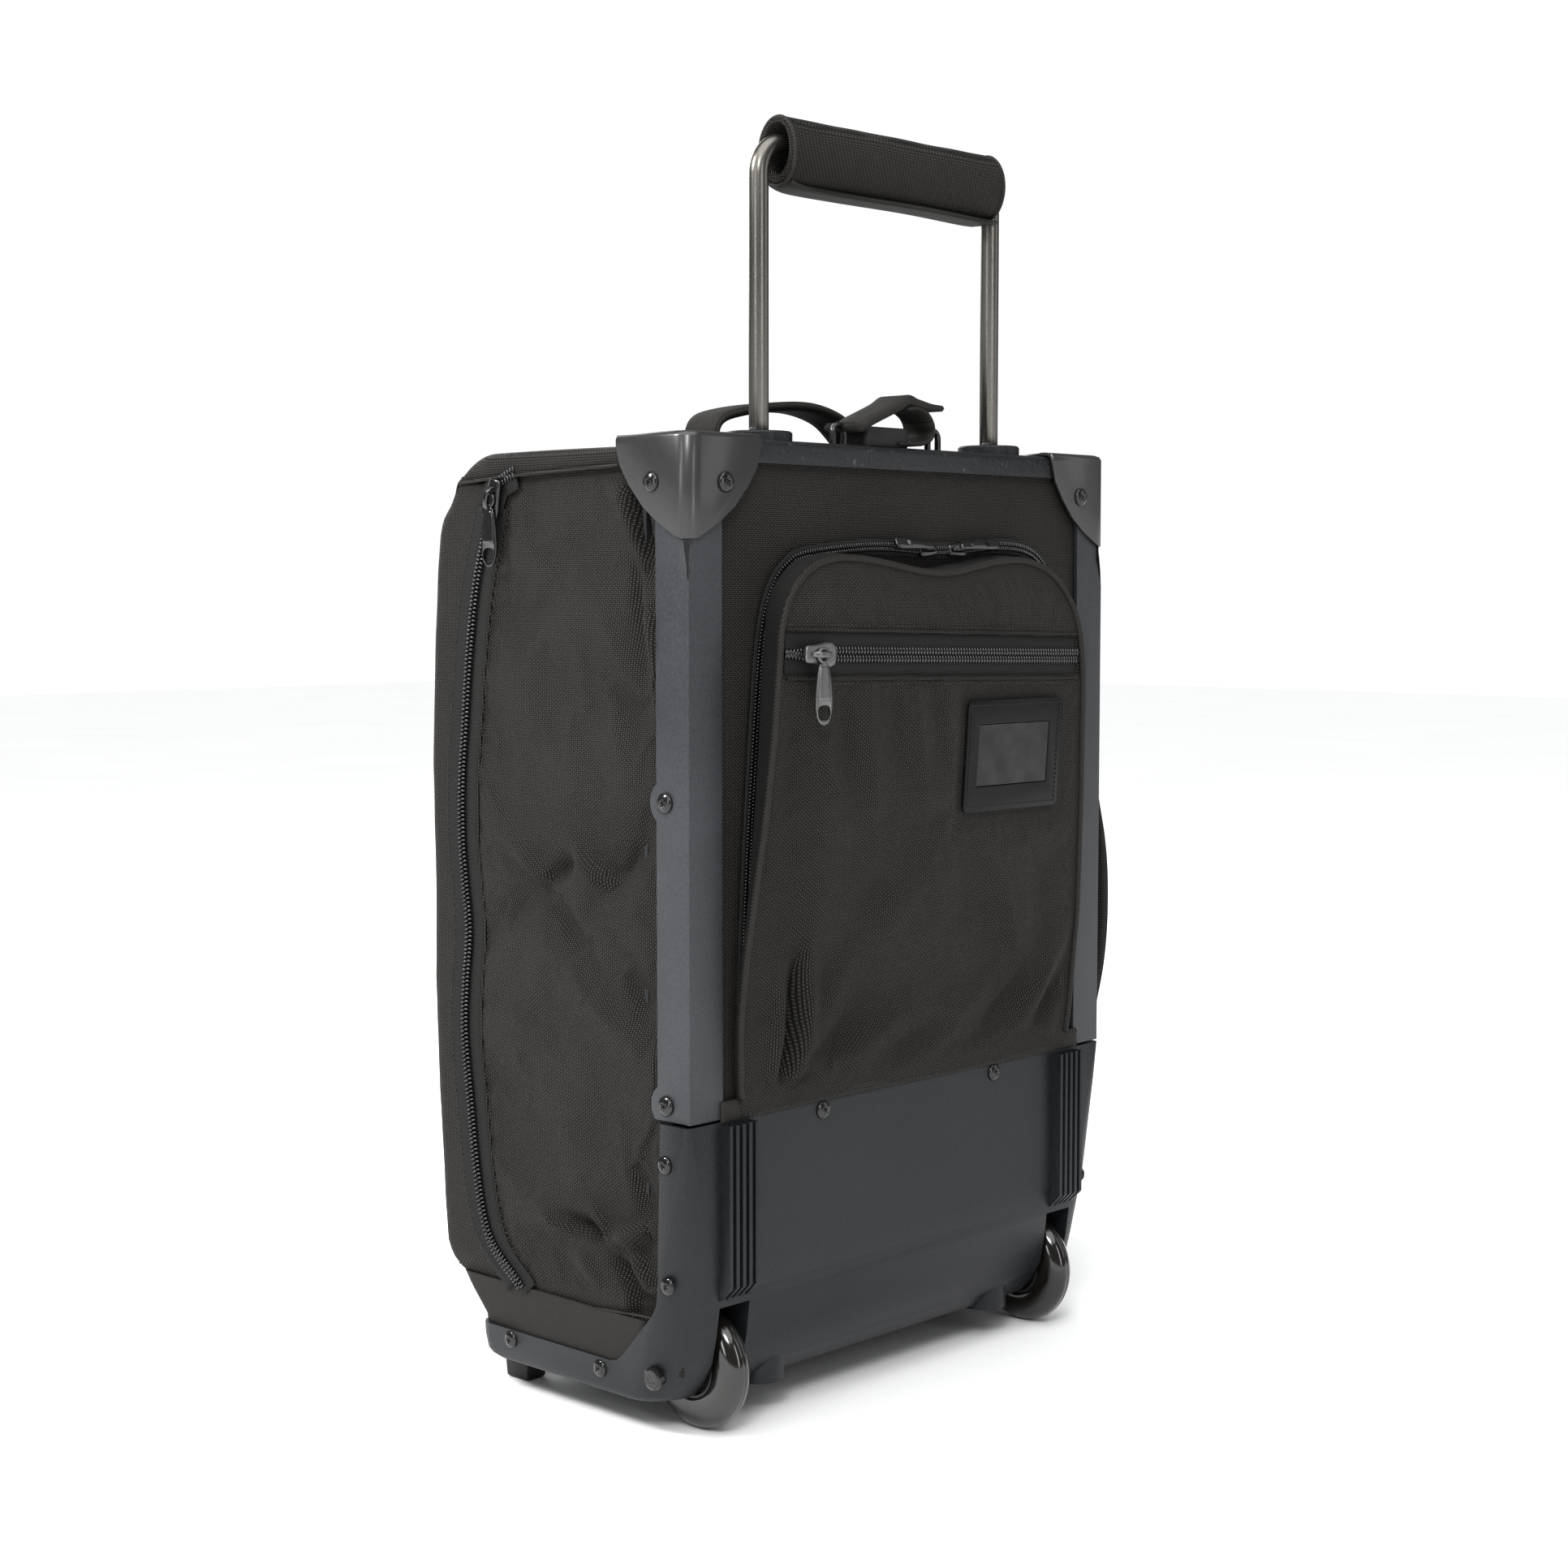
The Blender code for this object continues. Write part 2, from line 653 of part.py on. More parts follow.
def handle_rod():
    """One U-bent rod: two legs in the guide tubes and a cross run through the grip."""
    elbow_x = TUBE_X - ELBOW_RADIUS
    elbow_z = ROD_TOP - ELBOW_RADIUS
    flat = [Vector((TUBE_X, ROD_END))]
    flat += arc((elbow_x, elbow_z), ELBOW_RADIUS, 0.0, 90.0, 7)
    flat += arc((-elbow_x, elbow_z), ELBOW_RADIUS, 90.0, 180.0, 7)
    flat += [Vector((-TUBE_X, ROD_END))]
    points = [Vector((p.x, TUBE_Y, p.y)) for p in flat]
    return tube_along("handle_rod", points, ROD_RADIUS, gunmetal())


def handle_bush(name, side):
    """Nylon glide on the end of a rod leg; it stops the rod under its collar."""
    top = ROD_END - GAP
    bush = cylinder(name, (TUBE_X * side, TUBE_Y, top), "Z", -BUSH_LENGTH, 0.0, BUSH_RADIUS, ROUND, hub_nylon())
    return bush


def handle_grip():
    """Padded sleeve round the cross run: an oval tube, open at both ends."""
    stations = ((GRIP_LOW_X, 0.003), (GRIP_LOW_X + 0.003, 0.0), (GRIP_HIGH_X - 0.003, 0.0), (GRIP_HIGH_X, 0.003))

    def oval(x, inset):
        points = []
        for step in range(ROUND):
            angle = 2.0 * math.pi * step / ROUND
            points.append(Vector((x, TUBE_Y + (GRIP_HALF_DEPTH - inset) * math.cos(angle),
                                  GRIP_Z + (GRIP_HALF_HEIGHT - inset) * math.sin(angle))))
        return points

    rings = [oval(x, inset) for x, inset in stations]
    rings += [oval(x, GRIP_WALL) for x in (GRIP_HIGH_X, GRIP_LOW_X)]
    return loft("handle_grip", rings, ballistic_nylon(), 40.0, closed=True)


# ---------------------------------------------------------------- wheels

def wheel_tyre(name, side):
    """Crowned urethane tread: half an ellipse across its width."""
    profile = [(-TYRE_HALF_WIDTH, TYRE_INNER)]
    steps = 8
    for step in range(steps + 1):
        angle = math.pi * (1.0 - step / steps)
        profile.append((TYRE_HALF_WIDTH * math.cos(angle),
                        WHEEL_RADIUS - TYRE_CROWN + TYRE_CROWN * math.sin(angle)))
    profile.append((TYRE_HALF_WIDTH, TYRE_INNER))
    centre = (WHEEL_X * side, WHEEL_Y, WHEEL_RADIUS)
    return turned(name, profile, centre, "X", FINE, wheel_urethane())


def wheel_hub(name, side):
    """Nylon hub with a dished web on both sides."""
    half = TYRE_HALF_WIDTH - 0.0005
    web = 0.0060
    profile = [(-half, HUB_OUTER), (-half, HUB_OUTER - 0.002), (-web, HUB_OUTER - 0.003), (-web, HUB_BORE + 0.0015),
               (-half, HUB_BORE + 0.0012), (-half, HUB_BORE), (half, HUB_BORE), (half, HUB_BORE + 0.0012),
               (web, HUB_BORE + 0.0015), (web, HUB_OUTER - 0.003), (half, HUB_OUTER - 0.002), (half, HUB_OUTER)]
    return turned(name, profile, (WHEEL_X * side, WHEEL_Y, WHEEL_RADIUS), "X", ROUND, hub_nylon())


def wheel_bearing(name, side):
    half = TYRE_HALF_WIDTH - 0.001
    profile = [(-half, BEARING_BORE), (-half, BEARING_OUTER), (half, BEARING_OUTER), (half, BEARING_BORE)]
    return turned(name, profile, (WHEEL_X * side, WHEEL_Y, WHEEL_RADIUS), "X", ROUND, bright_steel())


def wheel_axle(name, side):
    """Axle bolt through both walls of the wheel well, with its head on the outside of the base."""
    inner_end = WHEEL_X - WELL_HALF - BASE_WALL + GAP
    face = 0.1795
    profile = [(inner_end, AXLE_RADIUS), (face, AXLE_RADIUS), (face, AXLE_HEAD_RADIUS),
               (face + 0.0014, AXLE_HEAD_RADIUS - 0.0003), (face + 0.0020, AXLE_HEAD_RADIUS - 0.0015)]
    return stacked(name, profile, (0.0, WHEEL_Y, WHEEL_RADIUS), "X", side, ROUND, black_steel())


# ---------------------------------------------------------------- soft case

def side_panel(name, side):
    """Stiffened fabric side, behind the pillar at the top and in front of the base's arm below."""
    outline = [(PANEL_FRONT, PANEL_BOTTOM), (-0.0660, PANEL_BOTTOM), (-0.0595, 0.0400), (-0.0550, 0.0440),
               (-0.0302, 0.0702), (-0.0265, 0.0765), (-0.0243, 0.0915), (-0.0232, 0.1250), (-0.0215, BASE_TOP),
               (-0.0215, BASE_TOP + 0.002), (-0.0090, BASE_TOP + 0.002), (-0.0090, PANEL_TOP),
               (-0.1622, PANEL_TOP), (-0.1724, 0.5322), (-0.1824, 0.5268), (-0.1885, 0.5200), (PANEL_FRONT, 0.5150)]
    low, high = sorted((side * PANEL_OUTER, side * (PANEL_OUTER - PANEL_THICK)))
    return prism(name, outline, "X", low, high, ballistic_nylon())


def top_panel():
    """Fabric top with a rounded front lip and two side skirts that lap over the side panels."""
    rear = -CHANNEL_DEPTH - GAP
    thick = PANEL_THICK
    outer = [(rear, TOP_PANEL_TOP), (-0.163, TOP_PANEL_TOP), (-0.174, 0.5355), (-0.185, 0.530), (-0.1925, 0.522),
             (-0.195, 0.513)]
    inner = [(-0.192, 0.513), (-0.1897, 0.521), (-0.1830, 0.5276), (-0.1728, 0.5327), (-0.1626, 0.535),
             (rear, TOP_PANEL_TOP - thick)]
    panel = prism("top_panel", outer + inner, "X", -SKIN_OUTER, SKIN_OUTER, ballistic_nylon(), 35.0)
    sunk = 0.0015
    skirt = [(rear - 0.002, BAND_BOTTOM), (rear - 0.002, TOP_PANEL_TOP - sunk), (-0.163, TOP_PANEL_TOP - sunk),
             (-0.1734, 0.5341), (-0.1840, 0.5288), (-0.1902, 0.5226), (-0.1895, BAND_BOTTOM - 0.0025)]
    for _, side in SIDES:
        low, high = sorted((side * (SKIN_OUTER - 0.0001), side * (PANEL_OUTER + GAP)))
        join(panel, prism("skirt", skirt, "X", low, high, ballistic_nylon()))
    return panel


def back_panel():
    """Stiffened fabric back between and behind the pillars, with its foot inside the base."""
    foot = 0.150
    wide = 0.172
    outline = [(-foot, 0.098), (foot, 0.098), (foot, PILLAR_BOTTOM + 0.001), (wide, PILLAR_BOTTOM + 0.001),
               (wide, 0.537), (-wide, 0.537), (-wide, PILLAR_BOTTOM + 0.001), (-foot, PILLAR_BOTTOM + 0.001)]
    panel = prism("back_panel", outline, "Y", BACK_PANEL_OUTER - PANEL_THICK, BACK_PANEL_OUTER, ballistic_nylon())
    return panel


def inner_back_panel():
    """Lining board that keeps the packing off the handle tubes."""
    return box("inner_back_panel", (-0.173, INNER_BACK_Y - 0.0025, 0.080), (0.173, INNER_BACK_Y, PANEL_TOP - 0.001),
               liner_board())


def floor_board():
    return box("floor_board", (-0.173, -0.169, 0.0345), (0.173, -0.0735, 0.0375), liner_board())


def front_sill():
    """Fixed fabric band that slopes up from the base to the cover's hinge seam."""
    outline = [(-0.1700, PANEL_BOTTOM), (-0.1740, PANEL_BOTTOM), (-0.1945, SILL_TOP), (-0.1895, SILL_TOP)]
    reach = PANEL_OUTER - PANEL_THICK - GAP
    return prism("front_sill", outline, "X", -reach, reach, ballistic_nylon())


def front_panel():
    """The padded front of the cover: a thick panel with rounded front corners."""
    rings = []
    for height, inset in ((COVER_BOTTOM, 0.010), (COVER_BOTTOM + 0.004, 0.004), (COVER_BOTTOM + 0.012, 0.0),
                          (COVER_TOP - 0.012, 0.0), (COVER_TOP - 0.004, 0.004), (COVER_TOP, 0.010)):
        outline = rounded_rectangle((-SKIN_OUTER + inset / 2, COVER_FRONT + inset), (SKIN_OUTER - inset / 2, COVER_BACK),
                                    (0.0105, 0.0105, 0.001, 0.001), (4, 4, 1, 1))
        rings.append([Vector((x, y, height)) for x, y in outline])
    return loft("front_panel", rings, ballistic_nylon(), 40.0)


def zip_line():
    """The side zip's path as (y, z): the back edge of the cover's side."""
    return [(-0.1450, 0.0650), (-0.1560, 0.0780), (-0.1670, 0.0900), (-0.1740, 0.1050), (-0.1790, 0.1400),
            (-0.1840, 0.1750), (-0.1875, 0.2100), (-0.1865, 0.2400), (-0.1830, 0.2660), (-0.1865, 0.3000),
            (-0.1885, 0.3300), (-0.1880, 0.3550), (-0.1840, 0.3900), (-0.1800, 0.4250), (-0.1740, 0.4600),
            (-0.1665, 0.4880), (-0.1600, 0.5080), (-0.1585, 0.5105)]


def front_flange(name, side):
    """Side of the cover: it laps outside the side panel, back to the zip."""
    outline = zip_line() + [(-0.1905, 0.5105), (COVER_BACK + GAP, 0.5075), (COVER_BACK + GAP, 0.0665),
                            (-0.1935, 0.0650)]
    low, high = sorted((side * (PANEL_OUTER + GAP), side * SKIN_OUTER))
    return prism(name, outline, "X", low, high, ballistic_nylon())


# ---------------------------------------------------------------- back pocket

# height, half width, front face of the pocket
POCKET_STATIONS = (
    (POCKET_BOTTOM, 0.1445, 0.0020), (0.200, 0.1450, 0.0030), (0.230, 0.1465, 0.0045), (0.260, 0.1460, 0.0080),
    (0.300, 0.1425, 0.0120), (0.340, 0.1390, 0.0160), (0.380, 0.1355, 0.0190), (0.410, 0.1340, 0.0205),
    (0.432, 0.1315, 0.0205), (0.446, 0.1275, 0.0200), (0.457, 0.1220, 0.0190), (0.467, 0.1120, 0.0180),
    (0.474, 0.0980, 0.0165), (0.478, 0.0780, 0.0145),
)


def pocket_front(height):
    return interpolate(POCKET_STATIONS, height)[1]


def back_pocket():
    """Soft pocket on the back: flat at its foot and full at its top, with a rounded top."""
    rings = []
    for height, half, front in POCKET_STATIONS:
        radius = min(0.006, (front - BACK_PANEL_OUTER) * 0.45)
        outline = rounded_rectangle((-half, BACK_PANEL_OUTER + GAP), (half, front), (0.0008, 0.0008, radius, radius),
                                    (1, 1, 3, 3))
        rings.append([Vector((x, y, height)) for x, y in outline])
    return loft("back_pocket", rings, ballistic_nylon(), 40.0)


def on_pocket(name, outline, lift, thickness, mat):
    """A thin plate that follows the pocket's front: outline is (x, z)."""
    rings = []
    for level in (lift, lift + thickness):
        rings.append([Vector((x, pocket_front(z) + level, z)) for x, z in outline])
    return loft(name, rings, mat)


def id_holder():
    """Vinyl frame with a clear window, sewn to the pocket."""
    frame_low = (-0.1130, 0.3320)
    frame_high = (-0.0245, 0.3975)
    window_low = (-0.1010, 0.3470)
    window_high = (-0.0350, 0.3835)
    corners = rounded_rectangle(frame_low, frame_high, (0.004,) * 4, (3,) * 4)
    frame = on_pocket("id_frame", corners, 0.0006, 0.0016, vinyl())
    opening = box("opening", (window_low[0], -0.05, window_low[1]), (window_high[0], 0.05, window_high[1]), vinyl())
    cut(frame, opening)
    inset = 0.0004
    pane_outline = [(window_low[0] + inset, window_low[1] + inset), (window_high[0] - inset, window_low[1] + inset),
                    (window_high[0] - inset, window_high[1] - inset), (window_low[0] + inset, window_high[1] - inset)]
    on_pocket("id_window", pane_outline, 0.0007, 0.0008, clear_window())


def chain_height(x):
    t = (x - CHAIN_LOW[0]) / (CHAIN_HIGH[0] - CHAIN_LOW[0])
    return CHAIN_LOW[1] + t * (CHAIN_HIGH[1] - CHAIN_LOW[1])


def pocket_zip_chain():
    """Closed coil of the pocket's cross zip, as one strip."""
    outline = []
    for x, side in ((CHAIN_LOW[0], -1), (CHAIN_HIGH[0], -1), (CHAIN_HIGH[0], 1), (CHAIN_LOW[0], 1)):
        outline.append((x, chain_height(x) + side * CHAIN_HALF_WIDTH))
    return prism("pocket_zip_chain", outline, "Y", CHAIN_Y, CHAIN_Y + CHAIN_THICK, zip_black())


def slider_body(name, outline_axis, centre, face, direction):
    """Zip slider: a waisted plate with a bridge for the pull. Outline length runs along X here."""
    half = SLIDER_LENGTH / 2.0
    wide = SLIDER_WIDTH / 2.0
    plan = [(-half, -wide * 0.55), (-half * 0.35, -wide * 0.70), (half * 0.45, -wide), (half * 0.90, -wide * 0.92),
            (half, -wide * 0.50), (half, wide * 0.50), (half * 0.90, wide * 0.92), (half * 0.45, wide),
            (-half * 0.35, wide * 0.70), (-half, wide * 0.55)]
    bridge = rounded_rectangle((-BOSS_HALF, -BOSS_HALF), (BOSS_HALF, BOSS_HALF), (0.0012,) * 4, (2,) * 4)

    def spread(points):
        if outline_axis == "Y":
            return [(centre[0] + a, centre[1] + b) for a, b in points]
        return [(centre[0] + b, centre[1] + a) for a, b in points]

    low, high = sorted((face, face + direction * SLIDER_THICK))
    body = prism(name, spread(plan), outline_axis, low, high, zip_black())
    low, high = sorted((face + direction * 0.001, face + direction * (SLIDER_THICK + BRIDGE_HEIGHT)))
    return join(body, prism("bridge", spread(bridge), outline_axis, low, high, zip_black()))


def pull_tab(name, axis, centre, pivot_z, face, direction):
    """Hanging pull with a fork at the top that straddles the slider's boss, and a slot at its foot."""
    wide = PULL_WIDTH / 2.0
    ear_in = BOSS_HALF + 0.0005
    ear_out = ear_in + 0.0017
    tip = 0.0012
    web = -(BOSS_HALF + 0.0012)
    foot = -PULL_LENGTH + wide
    outline = [(ear_out, tip), (ear_in, tip), (ear_in, web), (-ear_in, web), (-ear_in, tip), (-ear_out, tip),
               (-ear_out, -0.012), (-wide, foot + 0.006)]
    outline += [(p.x, p.y) for p in arc((0.0, foot), wide, 180.0, 360.0, 8)]
    outline += [(wide, foot + 0.006), (ear_out, -0.012)]
    slot = [(p.x, p.y) for p in arc((0.0, foot), wide * 0.55, 180.0, 360.0, 6)]
    slot += [(wide * 0.50, foot + 0.007), (-wide * 0.50, foot + 0.007)]
    low, high = sorted((face - direction * PULL_THICK / 2.0, face + direction * PULL_THICK / 2.0))
    tab = prism(name, [(centre + a, pivot_z + b) for a, b in outline], axis, low, high, zip_black())
    slot_outline = [(centre + a, pivot_z + b) for a, b in slot]
    return cut(tab, prism("slot", slot_outline, axis, low - 0.01, high + 0.01, zip_black()))


# ---------------------------------------------------------------- straps and small fittings

def top_handle():
    points = [(0.0620, 0.5412), (0.0560, 0.5500), (0.0420, 0.5612), (0.0150, 0.5690), (-0.0150, 0.5700),
              (-0.0400, 0.5640), (-0.0540, 0.5530), (-0.0610, 0.5412)]
    return strap("top_handle", smooth_path(points, 4), TOP_HANDLE_Y, TOP_HANDLE_WIDTH, 0.0055, webbing())


def side_handle():
    middle = SIDE_HANDLE_OUTER + 0.002
    flat = -HALF_WIDTH - GAP - 0.002
    points = [(flat, 0.3600), (flat, 0.3440), (-0.1860, 0.3280), (-0.1930, 0.3060), (-0.1970, 0.2850),
              (middle, 0.2640), (-0.1970, 0.2440), (-0.1930, 0.2230), (-0.1860, 0.2030), (flat, 0.1920), (flat, 0.1790)]
    return strap("side_handle", smooth_path(points, 3), -0.018, SIDE_HANDLE_WIDTH, 0.0040, webbing())


def pull_strap():
    points = [(0.0340, 0.5468), (0.0330, 0.5550), (0.0220, 0.5625), (0.0050, 0.5670), (-0.0080, 0.5690),
              (-0.0200, 0.5655), (-0.0290, 0.5570), (-0.0310, 0.5468)]
    return strap("carry_strap", smooth_path(points, 3), STRAP_Y, STRAP_WIDTH, 0.0030, webbing())


def bumper_block():
    outline = rounded_rectangle((-0.0080, STRAP_Y - 0.010), (0.0290, STRAP_Y + 0.010), (0.004,) * 4, (3,) * 4)
    return prism("bumper_block", outline, "Z", CHANNEL_TOP + GAP, 0.5535, black_rubber(), 40.0)


def strap_loop(name, x):
    """Wire staple on the channel that holds one end of the carry strap."""
    bottom = CHANNEL_TOP + GAP
    half = 0.0042
    flat = [Vector((x + half, bottom)), Vector((x + half, bottom + 0.005))]
    flat += arc((x, bottom + 0.0060), half, 0.0, 180.0, 8)
    flat += [Vector((x - half, bottom + 0.005)), Vector((x - half, bottom))]
    return tube_along(name, [Vector((p.x, STRAP_Y, p.y)) for p in flat], 0.0014, black_steel(), 2)


# ---------------------------------------------------------------- assembly

def place(obj, root, pivot=(0.0, 0.0, 0.0)):
    """Gives an object its origin at a pivot in the case frame and hangs it on the root empty."""
    pivot = Vector(pivot)
    obj.data.transform(Matrix.Translation(-pivot))
    obj.location = pivot
    obj.parent = root


def build():
    clear_scene()
    root = bpy.data.objects.new("case_frame", None)
    root.location = SHIFT
    bpy.context.scene.collection.objects.link(root)

    base_shell()
    top_channel()
    handle_pivot = (0.0, TUBE_Y, ROD_TOP)
    pivots = {"handle_rod": handle_pivot, "handle_grip": handle_pivot}
    handle_rod()
    handle_grip()
    for word, side in SIDES:
        front_foot("front_foot_" + word, side)
        pillar("pillar_" + word, side)
        corner_cap("corner_cap_" + word, side)
        collar("collar_" + word, side)
        guide_tube("guide_tube_" + word, side)
        handle_bush("handle_bush_" + word, side)
        pivots["handle_bush_" + word] = handle_pivot
        wheel_axle("wheel_axle_" + word, side)
        for kind, maker in (("tyre", wheel_tyre), ("hub", wheel_hub), ("bearing", wheel_bearing)):
            maker(f"wheel_{kind}_{word}", side)
            pivots[f"wheel_{kind}_{word}"] = (WHEEL_X * side, WHEEL_Y, WHEEL_RADIUS)
        side_panel("side_panel_" + word, side)
        front_flange("front_flange_" + word, side)
        pivots["front_flange_" + word] = (0.0, COVER_HINGE_Y, COVER_HINGE_Z)
        face = side * (SKIN_OUTER + GAP)
        slider_body("side_zip_slider_" + word, "X", (SIDE_SLIDER_Y, SIDE_SLIDER_Z), face, side)
        pull_x = face + side * (SLIDER_THICK + PIVOT_HEIGHT)
        pull_tab("side_zip_pull_" + word, "X", SIDE_SLIDER_Y, SIDE_SLIDER_Z, pull_x, side)
        pivots["side_zip_pull_" + word] = (pull_x, SIDE_SLIDER_Y, SIDE_SLIDER_Z)
        cap_screw = 0.0255
        cap_z = 0.518
        screw("cap_screw_side_" + word, (side * (CAP_OUTER + GAP), -cap_screw, cap_z), "X", side)
        screw("cap_screw_back_" + word, (side * (HALF_WIDTH - cap_screw), GAP * 2 + CAP_WALL, cap_z), "Y", 1.0)
        for level, height in (("upper", TAB_HEIGHTS[0]), ("lower", TAB_HEIGHTS[1])):
            strap_layer = 0.0 if side > 0 else 0.0040 + GAP
            face_x = side * (HALF_WIDTH + GAP + strap_layer)
            screw(f"pillar_screw_{level}_{word}", (face_x, TAB_Y, height), "X", side)

    top_panel()
    back_panel()
    inner_back_panel()
    floor_board()
    front_sill()
    front_panel()
    pivots["front_panel"] = (0.0, COVER_HINGE_Y, COVER_HINGE_Z)
    back_pocket()
    id_holder()
    pocket_zip_chain()
    slider_face = CHAIN_Y + CHAIN_THICK + GAP
    slider_z = chain_height(SLIDER_X)
    slider_body("pocket_zip_slider", "Y", (SLIDER_X, slider_z), slider_face, 1.0)
    pivots["pocket_zip_slider"] = (SLIDER_X, slider_face, slider_z)
    pull_y = slider_face + SLIDER_THICK + PIVOT_HEIGHT
    pull_tab("pocket_zip_pull", "Y", SLIDER_X, slider_z, pull_y, 1.0)
    pivots["pocket_zip_pull"] = (SLIDER_X, pull_y, slider_z)
    top_handle()
    side_handle()
    pull_strap()
    bumper_block()
    strap_loop("strap_loop_left", 0.0425)
    strap_loop("strap_loop_right", -0.0395)

    for obj in list(bpy.context.scene.objects):
        if obj is not root:
            place(obj, root, pivots.get(obj.name, (0.0, 0.0, 0.0)))


build()
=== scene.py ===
"""Looks for the softside upright suitcase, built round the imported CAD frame.

All shapes are written in millimetres in the case frame: x = 0 is the mid-plane with +x on the user's left, y = 0 is
the back face of the steel pillars with the front cover towards -y, and z = 0 is the floor.
"""

import math

import bmesh
import bpy
import numpy as np
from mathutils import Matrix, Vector, noise


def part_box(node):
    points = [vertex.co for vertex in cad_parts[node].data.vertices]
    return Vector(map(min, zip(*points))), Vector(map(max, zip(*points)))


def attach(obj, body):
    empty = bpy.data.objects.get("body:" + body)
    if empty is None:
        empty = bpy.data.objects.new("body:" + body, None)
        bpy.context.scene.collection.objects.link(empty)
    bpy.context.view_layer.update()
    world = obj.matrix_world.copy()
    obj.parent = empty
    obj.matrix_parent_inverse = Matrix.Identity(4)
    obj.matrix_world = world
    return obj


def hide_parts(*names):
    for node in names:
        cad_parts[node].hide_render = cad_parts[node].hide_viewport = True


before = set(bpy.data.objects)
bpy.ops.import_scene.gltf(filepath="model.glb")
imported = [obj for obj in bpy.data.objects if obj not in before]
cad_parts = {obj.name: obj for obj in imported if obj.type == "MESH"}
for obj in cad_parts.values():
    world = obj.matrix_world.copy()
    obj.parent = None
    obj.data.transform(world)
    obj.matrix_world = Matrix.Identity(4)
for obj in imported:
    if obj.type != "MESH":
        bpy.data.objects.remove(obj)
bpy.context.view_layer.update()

MM = 0.001
ROD_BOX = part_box("handle_rod")
ORIGIN = Vector(((ROD_BOX[0].x + ROD_BOX[1].x) / 2.0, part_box("pillar_left")[1].y, 0.0))
LEFT, RIGHT = 1.0, -1.0
SIDES = (("left", LEFT), ("right", RIGHT))

# Camera, in the case frame
CAMERA_AT = (1103.2, 944.8, 461.6)
CAMERA_PLAN = (-0.7254, -0.6884)
CAMERA_DOWN = 4.404               # degrees below the horizon
CAMERA_LENS = 58.0                # on a 36 mm wide square film

# Hard parts
ROD_X, HANDLE_Y, GRIP_Z = 100.0, -26.3, 701.0
WHEEL_X, WHEEL_Y, WHEEL_RADIUS = 144.0, -29.3, 35.0
CAP_SCREW_X, CAP_SCREW_Y, CAP_SCREW_Z = 154.5, -25.5, 518
TOP_STRAP_Y, CARRY_STRAP_Y = -105.0, -19.5

# Soft case
SKIN = 179.4                      # outer face of the cover's sides
PANEL = 176.4                     # the side panels where they are held flat
POCKET_WIDTHS = ((178, 143), (188, 143.5), (200, 144.8), (230, 146.5), (260, 146.2), (300, 142.6), (340, 138.7),
                 (380, 135.6), (410, 134), (430, 132), (445, 130))
POCKET_DEPTHS = ((176, 1.2), (188, 2.0), (200, 2.8), (230, 4.5), (260, 8), (300, 12), (340, 16), (380, 18.8),
                 (410, 20.2), (430, 20.2), (450, 18.5), (470, 16), (482, 14))
POCKET_TOP = ((0.0, 472.5), (0.12, 473), (0.30, 476), (0.46, 478.5), (0.62, 479), (0.74, 476), (0.84, 470),
              (0.92, 460), (0.97, 450), (1.0, 438))
SIDE_FOLD_SCALE, POCKET_FOLD_SCALE = 1.75, 2.3   # how far the listed creases are deepened
SLIDER_Y, SLIDER_Z = -154.5, 512.0
CROSS_SLIDER_X = 107.0
CLOTH_FRAMES = 14
CLOTH_STIFFNESS = 12.0
SIDE_ZIP = ((-139, 527), (-147, 524), (-154, 520), (-160, 508), (-166, 488), (-174, 461), (-180, 424), (-184, 387),
            (-187.5, 353), (-188, 321), (-186, 298), (-182.5, 266), (-185.5, 236), (-187, 207), (-183, 170),
            (-178.5, 134), (-173, 105), (-166, 88), (-154, 76), (-143, 68), (-139, 64))
COVER_FRONT = ((64, -197), (66, -202), (70, -207), (80, -211), (100, -213), (141, -215.5), (169, -217.5),
               (234, -220), (295, -219), (360, -220.5), (436, -217), (474, -214), (490, -211.5), (500, -208),
               (506, -203), (508, -198.5))


# ---------------------------------------------------------------- small maths

def table(stations, value):
    """Smooth lookup in a table of (value, result) pairs; works on numbers and arrays."""
    xs = [s[0] for s in stations]
    ys = [s[1] for s in stations]
    return np.interp(value, xs, ys)


def smoothstep(low, high, value):
    t = np.clip((value - low) / (high - low), 0.0, 1.0)
    return t * t * (3.0 - 2.0 * t)


def curve_points(points, spacing):
    """Catmull-Rom curve through points, resampled to an even spacing; any number of dimensions."""
    pts = np.array(points, float)
    padded = np.vstack([2 * pts[0] - pts[1], pts, 2 * pts[-1] - pts[-2]])
    dense = []
    for i in range(1, len(padded) - 2):
        p0, p1, p2, p3 = padded[i - 1:i + 3]
        for t in np.linspace(0.0, 1.0, 24, endpoint=False):
            dense.append(0.5 * (2 * p1 + (p2 - p0) * t + (2 * p0 - 5 * p1 + 4 * p2 - p3) * t ** 2
                                + (3 * p1 - p0 - 3 * p2 + p3) * t ** 3))
    dense.append(pts[-1])
    return resample(np.array(dense), spacing)


def resample(dense, spacing):
    lengths = np.concatenate([[0.0], np.cumsum(np.linalg.norm(np.diff(dense, axis=0), axis=1))])
    count = max(int(round(lengths[-1] / spacing)), 2)
    at = np.linspace(0.0, lengths[-1], count + 1)
    return np.stack([np.interp(at, lengths, dense[:, k]) for k in range(dense.shape[1])], axis=1)


def unit(vector):
    return np.array(vector, float) / np.linalg.norm(vector)


def around(count):
    """Evenly spaced angles round a circle."""
    return np.linspace(0.0, 2.0 * math.pi, count, endpoint=False)


